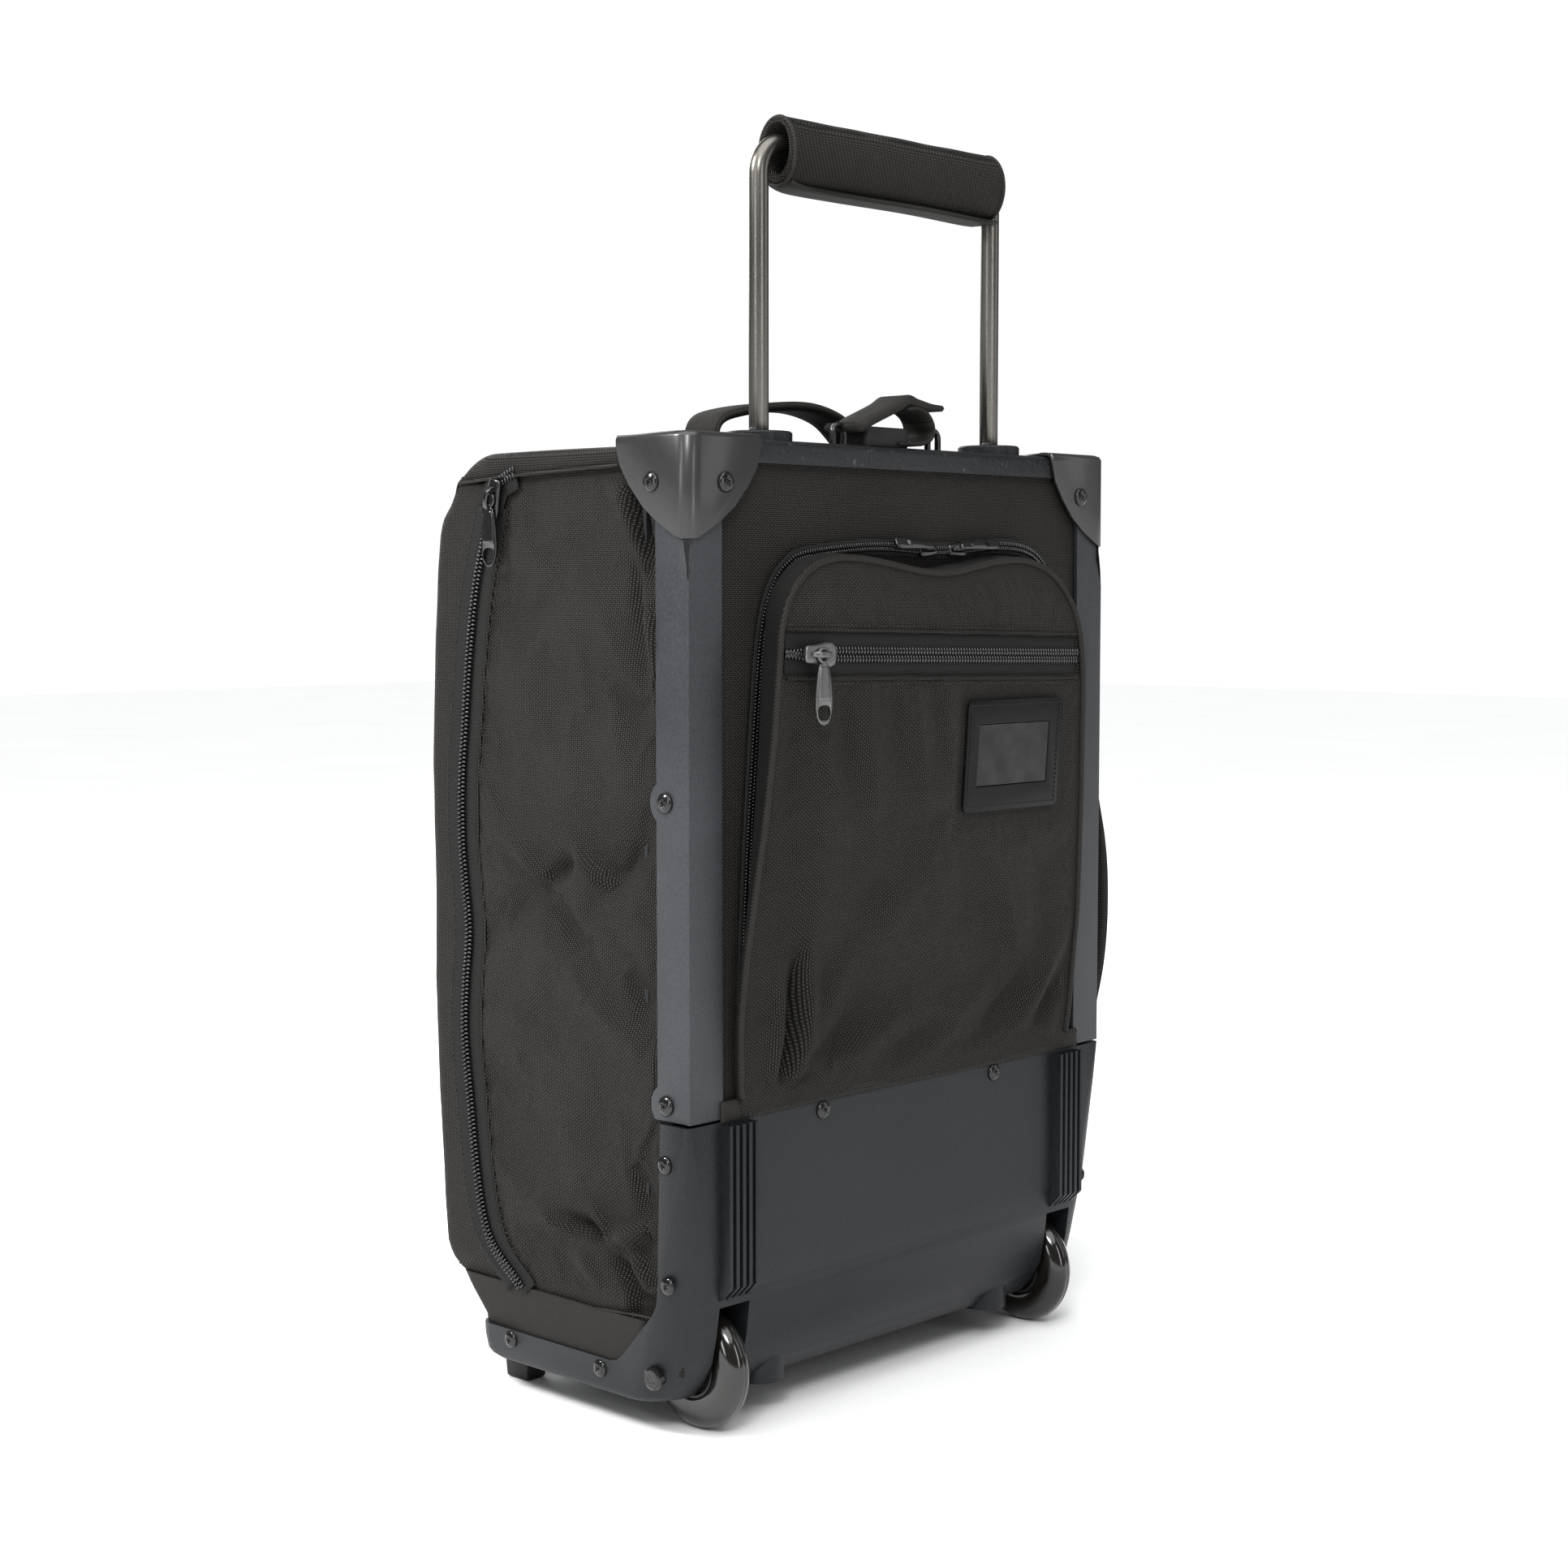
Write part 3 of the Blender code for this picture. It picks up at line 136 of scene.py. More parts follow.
def fold(a, b, start, end, width, height):
    """Height field of one soft fold that runs from start to end on a flat panel."""
    run = (end[0] - start[0], end[1] - start[1])
    length = math.hypot(*run)
    t = ((a - start[0]) * run[0] + (b - start[1]) * run[1]) / length ** 2
    off = ((a - start[0]) * -run[1] + (b - start[1]) * run[0]) / length
    inside = np.clip(t, 0.0, 1.0)
    past = (t - inside) * length
    taper = np.sin(math.pi * (0.10 + 0.80 * inside))
    return height * taper * np.exp(-(off / width) ** 2 - (past / (width * 1.6)) ** 2)


def cloth_noise(a, b, scale, seed, stretch=1.0):
    """Seeded smooth noise over two arrays."""
    out = np.empty(a.shape)
    for index in np.ndindex(a.shape):
        point = Vector((a[index] / scale, b[index] / (scale * stretch), seed))
        out[index] = noise.noise(point)
    return out


# ---------------------------------------------------------------- materials

def new_material(name):
    """A material with its node tree, its Principled shader and a texture coordinate node."""
    mat = bpy.data.materials.new(name)
    mat.use_nodes = True
    tree = mat.node_tree
    return mat, tree, tree.nodes["Principled BSDF"], tree.nodes.new("ShaderNodeTexCoord")


def set_inputs(node, **values):
    """Sets input sockets by name; an underscore stands for a space."""
    for key, value in values.items():
        node.inputs[key.replace("_", " ")].default_value = value


def link(tree, a, out, b, into):
    tree.links.new(a.outputs[out], b.inputs[into])


def math_node(tree, operation, first, second=None):
    """A Math node; its inputs are numbers or (node, output) pairs."""
    node = tree.nodes.new("ShaderNodeMath")
    node.operation = operation
    for slot, value in enumerate((first, second)):
        if value is None:
            continue
        if isinstance(value, tuple):
            tree.links.new(value[0].outputs[value[1]], node.inputs[slot])
        else:
            node.inputs[slot].default_value = value
    return node, 0


def noise_node(tree, coord, scale, detail=2.0, roughness=0.5):
    node = tree.nodes.new("ShaderNodeTexNoise")
    set_inputs(node, Scale=scale, Detail=detail, Roughness=roughness)
    link(tree, coord, "Object", node, "Vector")
    return node


def ramp(tree, source, output, stops):
    node = tree.nodes.new("ShaderNodeValToRGB")
    elements = node.color_ramp.elements
    while len(elements) < len(stops):
        elements.new(0.5)
    for element, (place, colour) in zip(elements, stops):
        element.position = place
        element.color = (*colour, 1.0)
    link(tree, source, output, node, "Fac")
    return node


def bump(tree, height, output, strength, distance, below=None):
    node = tree.nodes.new("ShaderNodeBump")
    set_inputs(node, Strength=strength, Distance=distance)
    link(tree, height, output, node, "Height")
    if below is not None:
        link(tree, below, "Normal", node, "Normal")
    return node


def vary_roughness(tree, shader, source, output, low, high, start=0.0, stop=1.0):
    """Runs the shader's roughness from low to high while a value runs from start to stop."""
    node = tree.nodes.new("ShaderNodeMapRange")
    set_inputs(node, From_Min=start, From_Max=stop, To_Min=low, To_Max=high)
    link(tree, source, output, node, "Value")
    link(tree, node, "Result", shader, "Roughness")


def axis_sum(tree, coord, letters):
    """The sum of the named object axes, so that one weave runs on round a corner."""
    split = tree.nodes.new("ShaderNodeSeparateXYZ")
    link(tree, coord, "Object", split, "Vector")
    total = (split, letters[0])
    for letter in letters[1:]:
        total = math_node(tree, "ADD", total, (split, letter))
    return total


def weave(name, axes, dark, light, pitch=(0.00135, 0.00105), relief_depth=0.0008):
    """Coarse basket-woven nylon, drawn on two sums of object axes given by name. The colour follows the threads'
    height: painted highlight on the thread crowns and painted shade in the gaps between threads, mixed with a slow
    random tone and fibre speckle.
    """
    mat, tree, shader, coord = new_material(name)

    def op(kind, first, second=None):
        return math_node(tree, kind, first, second)

    cells = [op("MULTIPLY", axis_sum(tree, coord, letters), 1.0 / step) for letters, step in zip(axes, pitch)]
    warp, weft = (op("ABSOLUTE", op("SINE", op("MULTIPLY", cell, math.pi))) for cell in cells)
    over = op("PINGPONG", op("ADD", op("FLOOR", cells[0]), op("FLOOR", cells[1])), 1.0)
    under = op("SUBTRACT", 1.0, over)
    round_warp = op("MULTIPLY", warp, op("ADD", op("MULTIPLY", weft, 0.75), 0.25))
    round_weft = op("MULTIPLY", weft, op("ADD", op("MULTIPLY", warp, 0.45), 0.1))
    height = op("ADD", op("MULTIPLY", round_warp, over), op("MULTIPLY", round_weft, under))
    shade = noise_node(tree, coord, 14.0, 3.0)
    fibre = noise_node(tree, coord, 1500.0, 2.0)
    total = op("ADD", op("ADD", op("MULTIPLY", height, 0.76), op("MULTIPLY", (shade, "Fac"), 0.16)),
               op("MULTIPLY", (fibre, "Fac"), 0.20))
    # Painted highlight and shade: the ramp puts the dark colour in the thread gaps and the light colour on the thread
    # crowns, plus random tone and fibre speckle.
    colour = ramp(tree, total[0], 0, ((0.32, dark), (0.88, light)))
    link(tree, colour, "Color", shader, "Base Color")
    vary_roughness(tree, shader, total[0], 0, WEAVE_ROUGHNESS + 0.16, WEAVE_ROUGHNESS - 0.10)
    relief = bump(tree, height[0], 0, 0.9, relief_depth)
    soft = noise_node(tree, coord, 160.0, 3.0)
    link(tree, bump(tree, soft, "Fac", 0.12, 0.002, relief), "Normal", shader, "Normal")
    set_inputs(shader, Sheen_Weight=0.03, Sheen_Roughness=0.45, Specular_IOR_Level=0.24)
    return mat


def grained(name, dark, light, roughness, grain=900.0, depth=0.00025, strength=0.5, metallic=0.0, wear=None,
            coat=0.0, specular=0.5):
    """Moulded or coated surface: pebble grain, slow colour drift and optional scuffs."""
    mat, tree, shader, coord = new_material(name)
    drift = noise_node(tree, coord, 11.0, 5.0, 0.6)
    pebble = noise_node(tree, coord, grain, 2.0, 0.55)
    mix = math_node(tree, "ADD", math_node(tree, "MULTIPLY", (drift, "Fac"), 0.55),
                    math_node(tree, "MULTIPLY", (pebble, "Fac"), 0.45))
    colour = ramp(tree, mix[0], 0, ((0.30, dark), (0.70, light)))
    if wear is None:
        link(tree, colour, "Color", shader, "Base Color")
    else:
        scratch = noise_node(tree, coord, 210.0, 6.0, 0.72)
        mask = ramp(tree, scratch, "Fac", ((0.60, (0, 0, 0)), (0.70, (1, 1, 1))))
        mixer = tree.nodes.new("ShaderNodeMix")
        mixer.data_type = "RGBA"
        link(tree, mask, "Color", mixer, 0)
        link(tree, colour, "Color", mixer, 6)
        mixer.inputs[7].default_value = (*wear, 1.0)
        link(tree, mixer, 2, shader, "Base Color")
    vary_roughness(tree, shader, mix[0], 0, max(roughness - 0.06, 0.02), roughness + 0.08, 0.3, 0.7)
    link(tree, bump(tree, pebble, "Fac", strength, depth), "Normal", shader, "Normal")
    set_inputs(shader, Metallic=metallic, Coat_Weight=coat, Coat_Roughness=0.15, Specular_IOR_Level=specular)
    return mat


def ribbed(name, dark, light, axes, pitch, roughness=0.7):
    """Woven webbing or tape: fine ribs across a sum of object axes. The colour follows the ribs' height: painted
    highlight on the rib crowns and painted shade in the grooves, mixed with fibre speckle.
    """
    mat, tree, shader, coord = new_material(name)
    wave = math_node(tree, "MULTIPLY", axis_sum(tree, coord, axes), math.pi / pitch)
    rib = math_node(tree, "ABSOLUTE", math_node(tree, "SINE", wave))
    fibre = noise_node(tree, coord, 1800.0, 2.0)
    mix = math_node(tree, "ADD", math_node(tree, "MULTIPLY", rib, 0.6),
                    math_node(tree, "MULTIPLY", (fibre, "Fac"), 0.4))
    # Painted highlight and shade: the rib crowns take the light colour and the grooves the dark colour, with fibre
    # speckle mixed in.
    colour = ramp(tree, mix[0], 0, ((0.1, dark), (0.9, light)))
    link(tree, colour, "Color", shader, "Base Color")
    link(tree, bump(tree, mix[0], 0, 0.7, 0.0003), "Normal", shader, "Normal")
    vary_roughness(tree, shader, mix[0], 0, roughness + 0.1, roughness - 0.05)
    set_inputs(shader, Sheen_Weight=0.02, Specular_IOR_Level=0.3)
    return mat


def window_film():
    """The identity window: dark gloss with a slow haze, drawn opaque."""
    mat, tree, shader, coord = new_material("clear_film")
    haze = noise_node(tree, coord, 60.0, 4.0)
    vary_roughness(tree, shader, haze, "Fac", 0.10, 0.24)
    tint = ramp(tree, haze, "Fac", ((0.3, (0.006, 0.006, 0.006)), (0.7, (0.03, 0.03, 0.03))))
    link(tree, tint, "Color", shader, "Base Color")
    set_inputs(shader, Specular_IOR_Level=0.35)
    return mat


WEAVE_ROUGHNESS = 0.56
# Painted shade and highlight: the dark colour lands in the thread gaps and the light colour on the thread crowns, with
# random tone between.
NYLON_DARK_WITH_GAP_SHADE = (0.0010, 0.0009, 0.0008)
NYLON_LIGHT_WITH_CROWN_HIGHLIGHT = (0.078, 0.0705, 0.0613)
fabric_side, fabric_back, fabric_top, fabric_cover, fabric_grip = (
    weave("nylon_" + word, axes, NYLON_DARK_WITH_GAP_SHADE, NYLON_LIGHT_WITH_CROWN_HIGHLIGHT)
    for word, axes in (("side", ("Y", "Z")), ("back", ("X", "Z")), ("top", ("XZ", "YZ")), ("cover", ("XY", "Z")),
                       ("grip", ("XZ", "YZ"))))
# The lining's weave likewise paints shade in its thread gaps and highlight on its thread crowns.
lining = weave("lining", ("X", "YZ"), (0.018, 0.019, 0.021), (0.060, 0.062, 0.066), pitch=(0.0007, 0.0007),
               relief_depth=0.0002)
# Painted shade and highlight: in each ribbed material the dark colour lands in the rib grooves and the light colour on
# the rib crowns, with fibre speckle between.
tape = ribbed("zip_tape", (0.004, 0.004, 0.004), (0.020, 0.019, 0.018), "Z", 0.0011)
piping = ribbed("piping", (0.003, 0.0028, 0.0026), (0.030, 0.0275, 0.0245), "XZ", 0.0019, 0.6)
sill_twill = ribbed("sill_twill", (0.0018, 0.0016, 0.0014), (0.030, 0.0273, 0.024), "XYZ", 0.00145, 0.6)
WEBBING_DARK_WITH_GROOVE_SHADE, WEBBING_LIGHT_WITH_RIB_HIGHLIGHT = (0.0035, 0.0033, 0.0030), (0.030, 0.0280, 0.0250)
webbing = ribbed("webbing", WEBBING_DARK_WITH_GROOVE_SHADE, WEBBING_LIGHT_WITH_RIB_HIGHLIGHT, "Y", 0.0018, 0.68)
webbing_x = ribbed("webbing_x", WEBBING_DARK_WITH_GROOVE_SHADE, WEBBING_LIGHT_WITH_RIB_HIGHLIGHT, "X", 0.0016, 0.68)
webbing_z = ribbed("webbing_z", WEBBING_DARK_WITH_GROOVE_SHADE, WEBBING_LIGHT_WITH_RIB_HIGHLIGHT, "Z", 0.0018, 0.68)
thread = ribbed("thread", (0.008, 0.008, 0.008), (0.050, 0.048, 0.045), "Y", 0.0006, 0.5)
plastic = grained("moulded_plastic", (0.0090, 0.0100, 0.0115), (0.0200, 0.0220, 0.0250), 0.40, 700.0, 0.0004, 0.55,
                  specular=0.36)
channel_plastic = grained("channel_plastic", (0.005, 0.0055, 0.0065), (0.016, 0.0175, 0.0200), 0.42, 420.0, 0.0006, 0.8,
                          wear=(0.075, 0.080, 0.086))
powder = grained("powder_coat", (0.030, 0.0325, 0.036), (0.064, 0.068, 0.074), 0.46, 520.0, 0.00018, 0.45,
                 metallic=0.25)
enamel = grained("cap_enamel", (0.046, 0.046, 0.045), (0.056, 0.056, 0.055), 0.31, 1400.0, 0.00003, 0.05,
                 metallic=0.35, coat=0.25)
gunmetal = grained("gunmetal", (0.150, 0.143, 0.132), (0.195, 0.187, 0.173), 0.30, 1200.0, 0.00003, 0.2,
                   metallic=1.0)
steel = grained("bright_steel", (0.42, 0.42, 0.43), (0.55, 0.55, 0.56), 0.25, 900.0, 0.00003, 0.2, metallic=1.0)
black_steel = grained("black_steel", (0.0050, 0.0050, 0.0050), (0.013, 0.013, 0.0125), 0.17, 600.0, 0.00003, 0.2,
                      coat=0.25, specular=0.55)
zip_gloss = grained("zip_gloss", (0.0040, 0.0040, 0.0042), (0.012, 0.012, 0.012), 0.20, 800.0, 0.00003, 0.15,
                    coat=0.4, specular=0.7)
pull_metal = grained("pull_metal", (0.13, 0.13, 0.128), (0.20, 0.20, 0.197), 0.34, 900.0, 0.00003, 0.2, metallic=0.85)
vinyl = grained("vinyl", (0.0040, 0.0040, 0.0042), (0.0095, 0.0095, 0.0098), 0.36, 1100.0, 0.00008, 0.3,
                specular=0.22)
urethane = grained("wheel_urethane", (0.0050, 0.0044, 0.0040), (0.013, 0.011, 0.009), 0.10, 70.0, 0.0001, 0.06,
                   coat=0.8)
nylon_hub = grained("hub_nylon", (0.010, 0.010, 0.010), (0.022, 0.022, 0.022), 0.38, 500.0, 0.0001, 0.3)
rubber = grained("black_rubber", (0.004, 0.004, 0.004), (0.012, 0.012, 0.012), 0.50, 480.0, 0.0002, 0.4)
card = grained("blank_card", (0.0040, 0.0038, 0.0036), (0.0085, 0.0081, 0.0077), 0.5, 300.0, 0.00004, 0.2)


film = window_film()


# ---------------------------------------------------------------- mesh builders

def add_object(name, data):
    obj = bpy.data.objects.new(name, data)
    bpy.context.scene.collection.objects.link(obj)
    return obj


def piece(name, verts, faces, mat, body, smooth=True):
    """Makes a mesh from case-frame millimetres and rides it on a CAD body."""
    mesh = bpy.data.meshes.new(name)
    base = np.array(verts, float).reshape(-1, 3) * MM + np.array(ORIGIN)
    mesh.from_pydata(base.tolist(), [], [tuple(int(i) for i in f) for f in faces])
    mesh.validate()
    mesh.materials.append(mat)
    if smooth:
        mesh.shade_smooth()
    obj = add_object(name, mesh)
    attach(obj, body)
    return obj


def grid_faces(rows, cols, wrap_rows=False, wrap_cols=False, start=0):
    faces = []
    for i in range(rows if wrap_rows else rows - 1):
        for j in range(cols if wrap_cols else cols - 1):
            a = start + i * cols + j
            b = start + i * cols + (j + 1) % cols
            c = start + ((i + 1) % rows) * cols + (j + 1) % cols
            d = start + ((i + 1) % rows) * cols + j
            faces.append((a, b, c, d))
    return faces


def end_caps(rows, cols):
    """The faces that close both ends of a tube of points."""
    return [tuple(range(cols))[::-1], tuple(range((rows - 1) * cols, rows * cols))]


def outward(obj, away):
    """Turns an open sheet's faces so that they look away from a point in the case frame."""
    mesh = obj.data
    centre = Vector(away) * MM + ORIGIN
    score = 0.0
    for polygon in mesh.polygons:
        score += polygon.normal.dot(polygon.center - centre) * polygon.area
    if score < 0.0:
        mesh.flip_normals()
    return obj


def sheet_piece(name, grid, mat, body, away, thickness=1.2):
    """A soft sheet from a grid of points, thickened inwards."""
    rows, cols = grid.shape[:2]
    obj = piece(name, grid, grid_faces(rows, cols), mat, body)
    outward(obj, away)
    if thickness:
        thicken(obj, thickness)
    return obj


def thicken(obj, thickness):
    solid = obj.modifiers.new("thickness", "SOLIDIFY")
    solid.thickness = thickness * MM
    solid.offset = -1.0
    settle_modifiers(obj)


def settle_modifiers(obj):
    """Applies every modifier to the mesh."""
    depsgraph = bpy.context.evaluated_depsgraph_get()
    mesh = bpy.data.meshes.new_from_object(obj.evaluated_get(depsgraph))
    obj.modifiers.clear()
    obj.data = mesh
    mesh.shade_smooth()
    return obj


def frames_along(path, up):
    """Tangent, side and lift directions at each point of a path; up is one vector or one for each point."""
    tangent = np.gradient(path, axis=0)
    tangent /= np.linalg.norm(tangent, axis=1)[:, None] + 1e-12
    lift = np.broadcast_to(np.array(up, float), path.shape)
    side = np.cross(tangent, lift)
    side /= np.linalg.norm(side, axis=1)[:, None] + 1e-12
    lift = np.cross(side, tangent)
    return tangent, side, lift


def swept(name, path, section, up, mat, body, closed=False):
    """Sweeps a section of (side, lift) points along a path; the section may change from point to point."""
    path = np.array(path, float)
    _, side, lift = frames_along(path, up)
    section = np.array(section, float)
    if section.ndim == 2:
        section = np.broadcast_to(section, (len(path), *section.shape))
    grid = path[:, None, :] + side[:, None, :] * section[:, :, :1] + lift[:, None, :] * section[:, :, 1:]
    rows, cols = grid.shape[:2]
    faces = grid_faces(rows, cols, wrap_rows=closed, wrap_cols=True)
    verts = grid.reshape(-1, 3)
    if not closed:
        faces += end_caps(rows, cols)
    obj = piece(name, verts, faces, mat, body)
    fix_normals(obj)
    return obj


def fix_normals(obj, merge=0.0):
    """Turns a closed mesh's faces outwards, after joining points nearer than merge metres."""
    bm = bmesh.new()
    bm.from_mesh(obj.data)
    if merge:
        bmesh.ops.remove_doubles(bm, verts=bm.verts, dist=merge)
    bmesh.ops.recalc_face_normals(bm, faces=bm.faces)
    bm.to_mesh(obj.data)
    bm.free()


def circle(radius, count=10, flatten=1.0):
    angles = around(count)
    return np.stack([radius * np.cos(angles), radius * flatten * np.sin(angles)], axis=1)


def flat_section(width, thickness, corner=0.35):
    """Rounded cross-section of a strap or tape: wide in side, thin in lift."""
    half = width / 2.0
    thick = thickness / 2.0
    soft = min(thick, half) * (1.0 - corner)
    return np.array([(-half, -thick + soft), (-half + soft, -thick), (-half * 0.4, -thick), (0.0, -thick),
                     (half * 0.4, -thick), (half - soft, -thick), (half, -thick + soft), (half, thick - soft),
                     (half - soft, thick), (half * 0.4, thick), (0.0, thick), (-half * 0.4, thick),
                     (-half + soft, thick), (-half, thick - soft)])


def beads(name, places, mat, body):
    """Many small rounded lumps in one mesh: each place is (centre, three half-axis vectors)."""
    ring = 6
    unit = []
    for layer, radius in ((-0.80, 0.60), (-0.30, 0.96), (0.30, 0.96), (0.80, 0.60)):
        for step in range(ring):
            angle = 2.0 * math.pi * step / ring
            unit.append((radius * math.cos(angle), radius * math.sin(angle), layer))
    unit = np.array(unit)
    faces_one = grid_faces(4, ring, wrap_cols=True) + end_caps(4, ring)
    verts = []
    faces = []
    for centre, a, b, c in places:
        start = len(verts) * len(unit)
        verts.append(np.array(centre) + unit[:, :1] * a + unit[:, 1:2] * b + unit[:, 2:] * c)
        faces += [tuple(start + i for i in face) for face in faces_one]
    obj = piece(name, np.concatenate(verts), faces, mat, body)
    fix_normals(obj)
    return obj


def zip_teeth(name, path, up, body, side_sign=0, pitch=2.0, tooth=3.1, height=1.25):
    """Rows of coil turns along a path. side_sign 1 or -1 makes one row only, 0 makes both."""
    points = resample(np.array(path, float), pitch / 2.0)
    tangent, side, lift = frames_along(points, up)
    places = []
    for index in range(len(points)):
        row = 1 if index % 2 == 0 else -1
        if side_sign and row != side_sign:
            continue
        centre = points[index] + side[index] * row * tooth * 0.52
        along = tangent[index] * pitch * 0.36
        places.append((centre, along, lift[index] * height, side[index] * tooth * 0.62))
    return beads(name, places, zip_gloss, body)


def stitches(name, path, up, body, pitch=3.4, length=2.3, radius=0.30):
    points = resample(curve_points(path, 1.0), pitch)
    tangent, side, lift = frames_along(points, up)
    places = [(p, s * radius, u * radius, t * length / 2.0) for p, t, s, u in zip(points, tangent, side, lift)]
    return beads(name, places, thread, body)


def tape_strip(name, path, width, thickness, up, body):
    return swept(name, resample(np.array(path, float), 3.0), flat_section(width, thickness), up, tape, body)


def edge_copy(node, mat, body, width, segments, angle=30.0):
    """Replaces a hard CAD node by a copy of itself with small rounded edges that catch the light."""
    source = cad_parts[node]
    bm = bmesh.new()
    bm.from_mesh(source.data)
    bmesh.ops.remove_doubles(bm, verts=bm.verts, dist=0.000004)
    bmesh.ops.dissolve_limit(bm, angle_limit=math.radians(0.8), verts=bm.verts, edges=bm.edges)
    mesh = bpy.data.meshes.new(node + "_fine")
    bm.to_mesh(mesh)
    bm.free()
    mesh.materials.append(mat)
    mesh.shade_smooth()
    obj = add_object(node + "_fine", mesh)
    bevel = obj.modifiers.new("edges", "BEVEL")
    bevel.width = width * MM
    bevel.segments = segments
    bevel.limit_method = "ANGLE"
    bevel.angle_limit = math.radians(angle)
    bevel.use_clamp_overlap = True
    bevel.harden_normals = True
    settle_modifiers(obj)
    obj.data.set_sharp_from_angle(angle=math.radians(42.0))
    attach(obj, body)
    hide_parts(node)


def dome_screw(name, at, axis, body, radius=5.5, height=3.0, turn=0.35, star=False, nodes=()):
    """Domed screw head with a cross or star recess; at is on the face, axis points out of it."""
    axis = Vector(axis).normalized()
    helper = Vector((0, 0, 1)) if abs(axis.z) < 0.9 else Vector((0, 1, 0))
    u = axis.cross(helper).normalized()
    v = axis.cross(u).normalized()
    verts = []
    rings = 13
    count = 36
    for ring in range(rings):
        r = ring / (rings - 1)
        for step in range(count):
            angle = 2.0 * math.pi * step / count
            px, py = r * math.cos(angle), r * math.sin(angle)
            lift = height * math.sqrt(max(1.0 - (0.93 * r) ** 2, 0.0)) - height * 0.10
            spin_x = px * math.cos(turn) - py * math.sin(turn)
            spin_y = px * math.sin(turn) + py * math.cos(turn)
            if star:
                reach = 0.40 + 0.10 * math.cos(6.0 * math.atan2(spin_y, spin_x))
                hole = 1.0 - smoothstep(reach - 0.05, reach + 0.05, r)
            else:
                arm_a = (1.0 - smoothstep(0.08, 0.14, abs(spin_x))) * (1.0 - smoothstep(0.32, 0.40, abs(spin_y)))
                arm_b = (1.0 - smoothstep(0.08, 0.14, abs(spin_y))) * (1.0 - smoothstep(0.32, 0.40, abs(spin_x)))
                hole = max(arm_a, arm_b)
            lift -= height * 0.55 * float(hole)
            verts.append(Vector(at) + u * px * radius + v * py * radius + axis * lift)
    for step in range(count):
        angle = 2.0 * math.pi * step / count
        verts.append(Vector(at) + (u * math.cos(angle) + v * math.sin(angle)) * radius * 0.98)
    faces = grid_faces(rings + 1, count, wrap_cols=True)
    faces.append(tuple(range(rings * count, (rings + 1) * count)))
    obj = piece(name, verts, faces, black_steel, body)
    fix_normals(obj, 0.000001)
    if nodes:
        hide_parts(*nodes)
    return obj


def cloth_settle(obj, pinned, slack, cap, pressure=0.0):
    """Relaxes a sheet by cloth simulation; pinned is a list of weights, and cap limits travel in millimetres."""
    before = np.array([v.co for v in obj.data.vertices])
    group = obj.vertex_groups.new(name="pin")
    for index, weight in enumerate(pinned):
        if weight > 0.0:
            group.add([index], float(weight), "REPLACE")
    cloth = obj.modifiers.new("cloth", "CLOTH")
    settings = cloth.settings
    settings.quality = 6
    settings.mass = 0.35
    settings.tension_stiffness = CLOTH_STIFFNESS
    settings.compression_stiffness = CLOTH_STIFFNESS
    settings.shear_stiffness = CLOTH_STIFFNESS * 0.4
    settings.bending_stiffness = 1.2
    settings.shrink_min = -slack
    settings.effector_weights.gravity = 0.0
    settings.vertex_group_mass = "pin"
    settings.pin_stiffness = 1.0
    settings.air_damping = 4.0
    if pressure:
        settings.use_pressure = True
        settings.uniform_pressure_force = pressure
    cloth.point_cache.frame_start = 1
    cloth.point_cache.frame_end = CLOTH_FRAMES
    scene = bpy.context.scene
    for number in range(1, CLOTH_FRAMES + 1):
        scene.frame_set(number)
    settle_modifiers(obj)
    after = np.array([v.co for v in obj.data.vertices])
    move = after - before
    length = np.linalg.norm(move, axis=1)
    scale = np.minimum(1.0, cap * MM / np.maximum(length, 1e-9))
    after = before + move * scale[:, None]
    obj.data.vertices.foreach_set("co", after.astype(np.float32).ravel())
    obj.data.update()
    obj.vertex_groups.clear()
    scene.frame_set(1)


# ---------------------------------------------------------------- hard parts that keep their shape

def hard_parts():
    edge_copy("base_shell", plastic, "case", 0.9, 3)
    edge_copy("top_channel", channel_plastic, "case", 1.2, 3)
    for word, side in SIDES:
        edge_copy("pillar_" + word, powder, "case", 0.5, 2)
        edge_copy("corner_cap_" + word, enamel, "case", 0.5, 2, 50.0)
        edge_copy("front_foot_" + word, rubber, "case", 0.5, 2)
        for node, mat in (("collar_", plastic), ("guide_tube_", steel), ("wheel_bearing_", steel),
                          ("handle_bush_", nylon_hub)):
            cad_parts[node + word].data.materials[0] = mat
        pillar_dart_painted_shade(word, side)
    edge_copy("bumper_block", rubber, "case", 0.7, 3)


def pillar_dart_painted_shade(word, side):
    """The short folded dart at the head of a pillar's corner, just under the cap, drawn in the darker channel plastic
    as painted shade in its dimple.
    """
    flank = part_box("pillar_" + word)
    edge = ((flank[1].x if side > 0 else flank[0].x) - ORIGIN.x) / MM
    rows = []
    for z, half, dent in ((490.0, 3.3, 1.3), (485.5, 3.4, 1.5), (480.0, 2.4, 1.1), (473.0, 1.3, 0.6),
                          (462.0, 0.6, 0.2)):
        rows.append([(edge + side * 0.12, -half, z),
                     (edge - side * (half * 0.5 + dent * 0.5), -half * 0.5 - dent * 0.5, z),
                     (edge - side * half, 0.12, z), (edge - side * (half + 0.6), -half - 0.6, z)])
    grid = np.array(rows)
    faces = grid_faces(len(rows), 4, wrap_cols=True) + [(3, 2, 1, 0), tuple(range(4 * len(rows) - 4, 4 * len(rows)))]
    # Painted shade: the dart takes the darker channel plastic instead of the pillar's powder coat, so it reads as a
    # shadowed dimple.
    fix_normals(piece("pillar_dart_painted_shade_" + word, grid, faces, channel_plastic, "case", smooth=False))


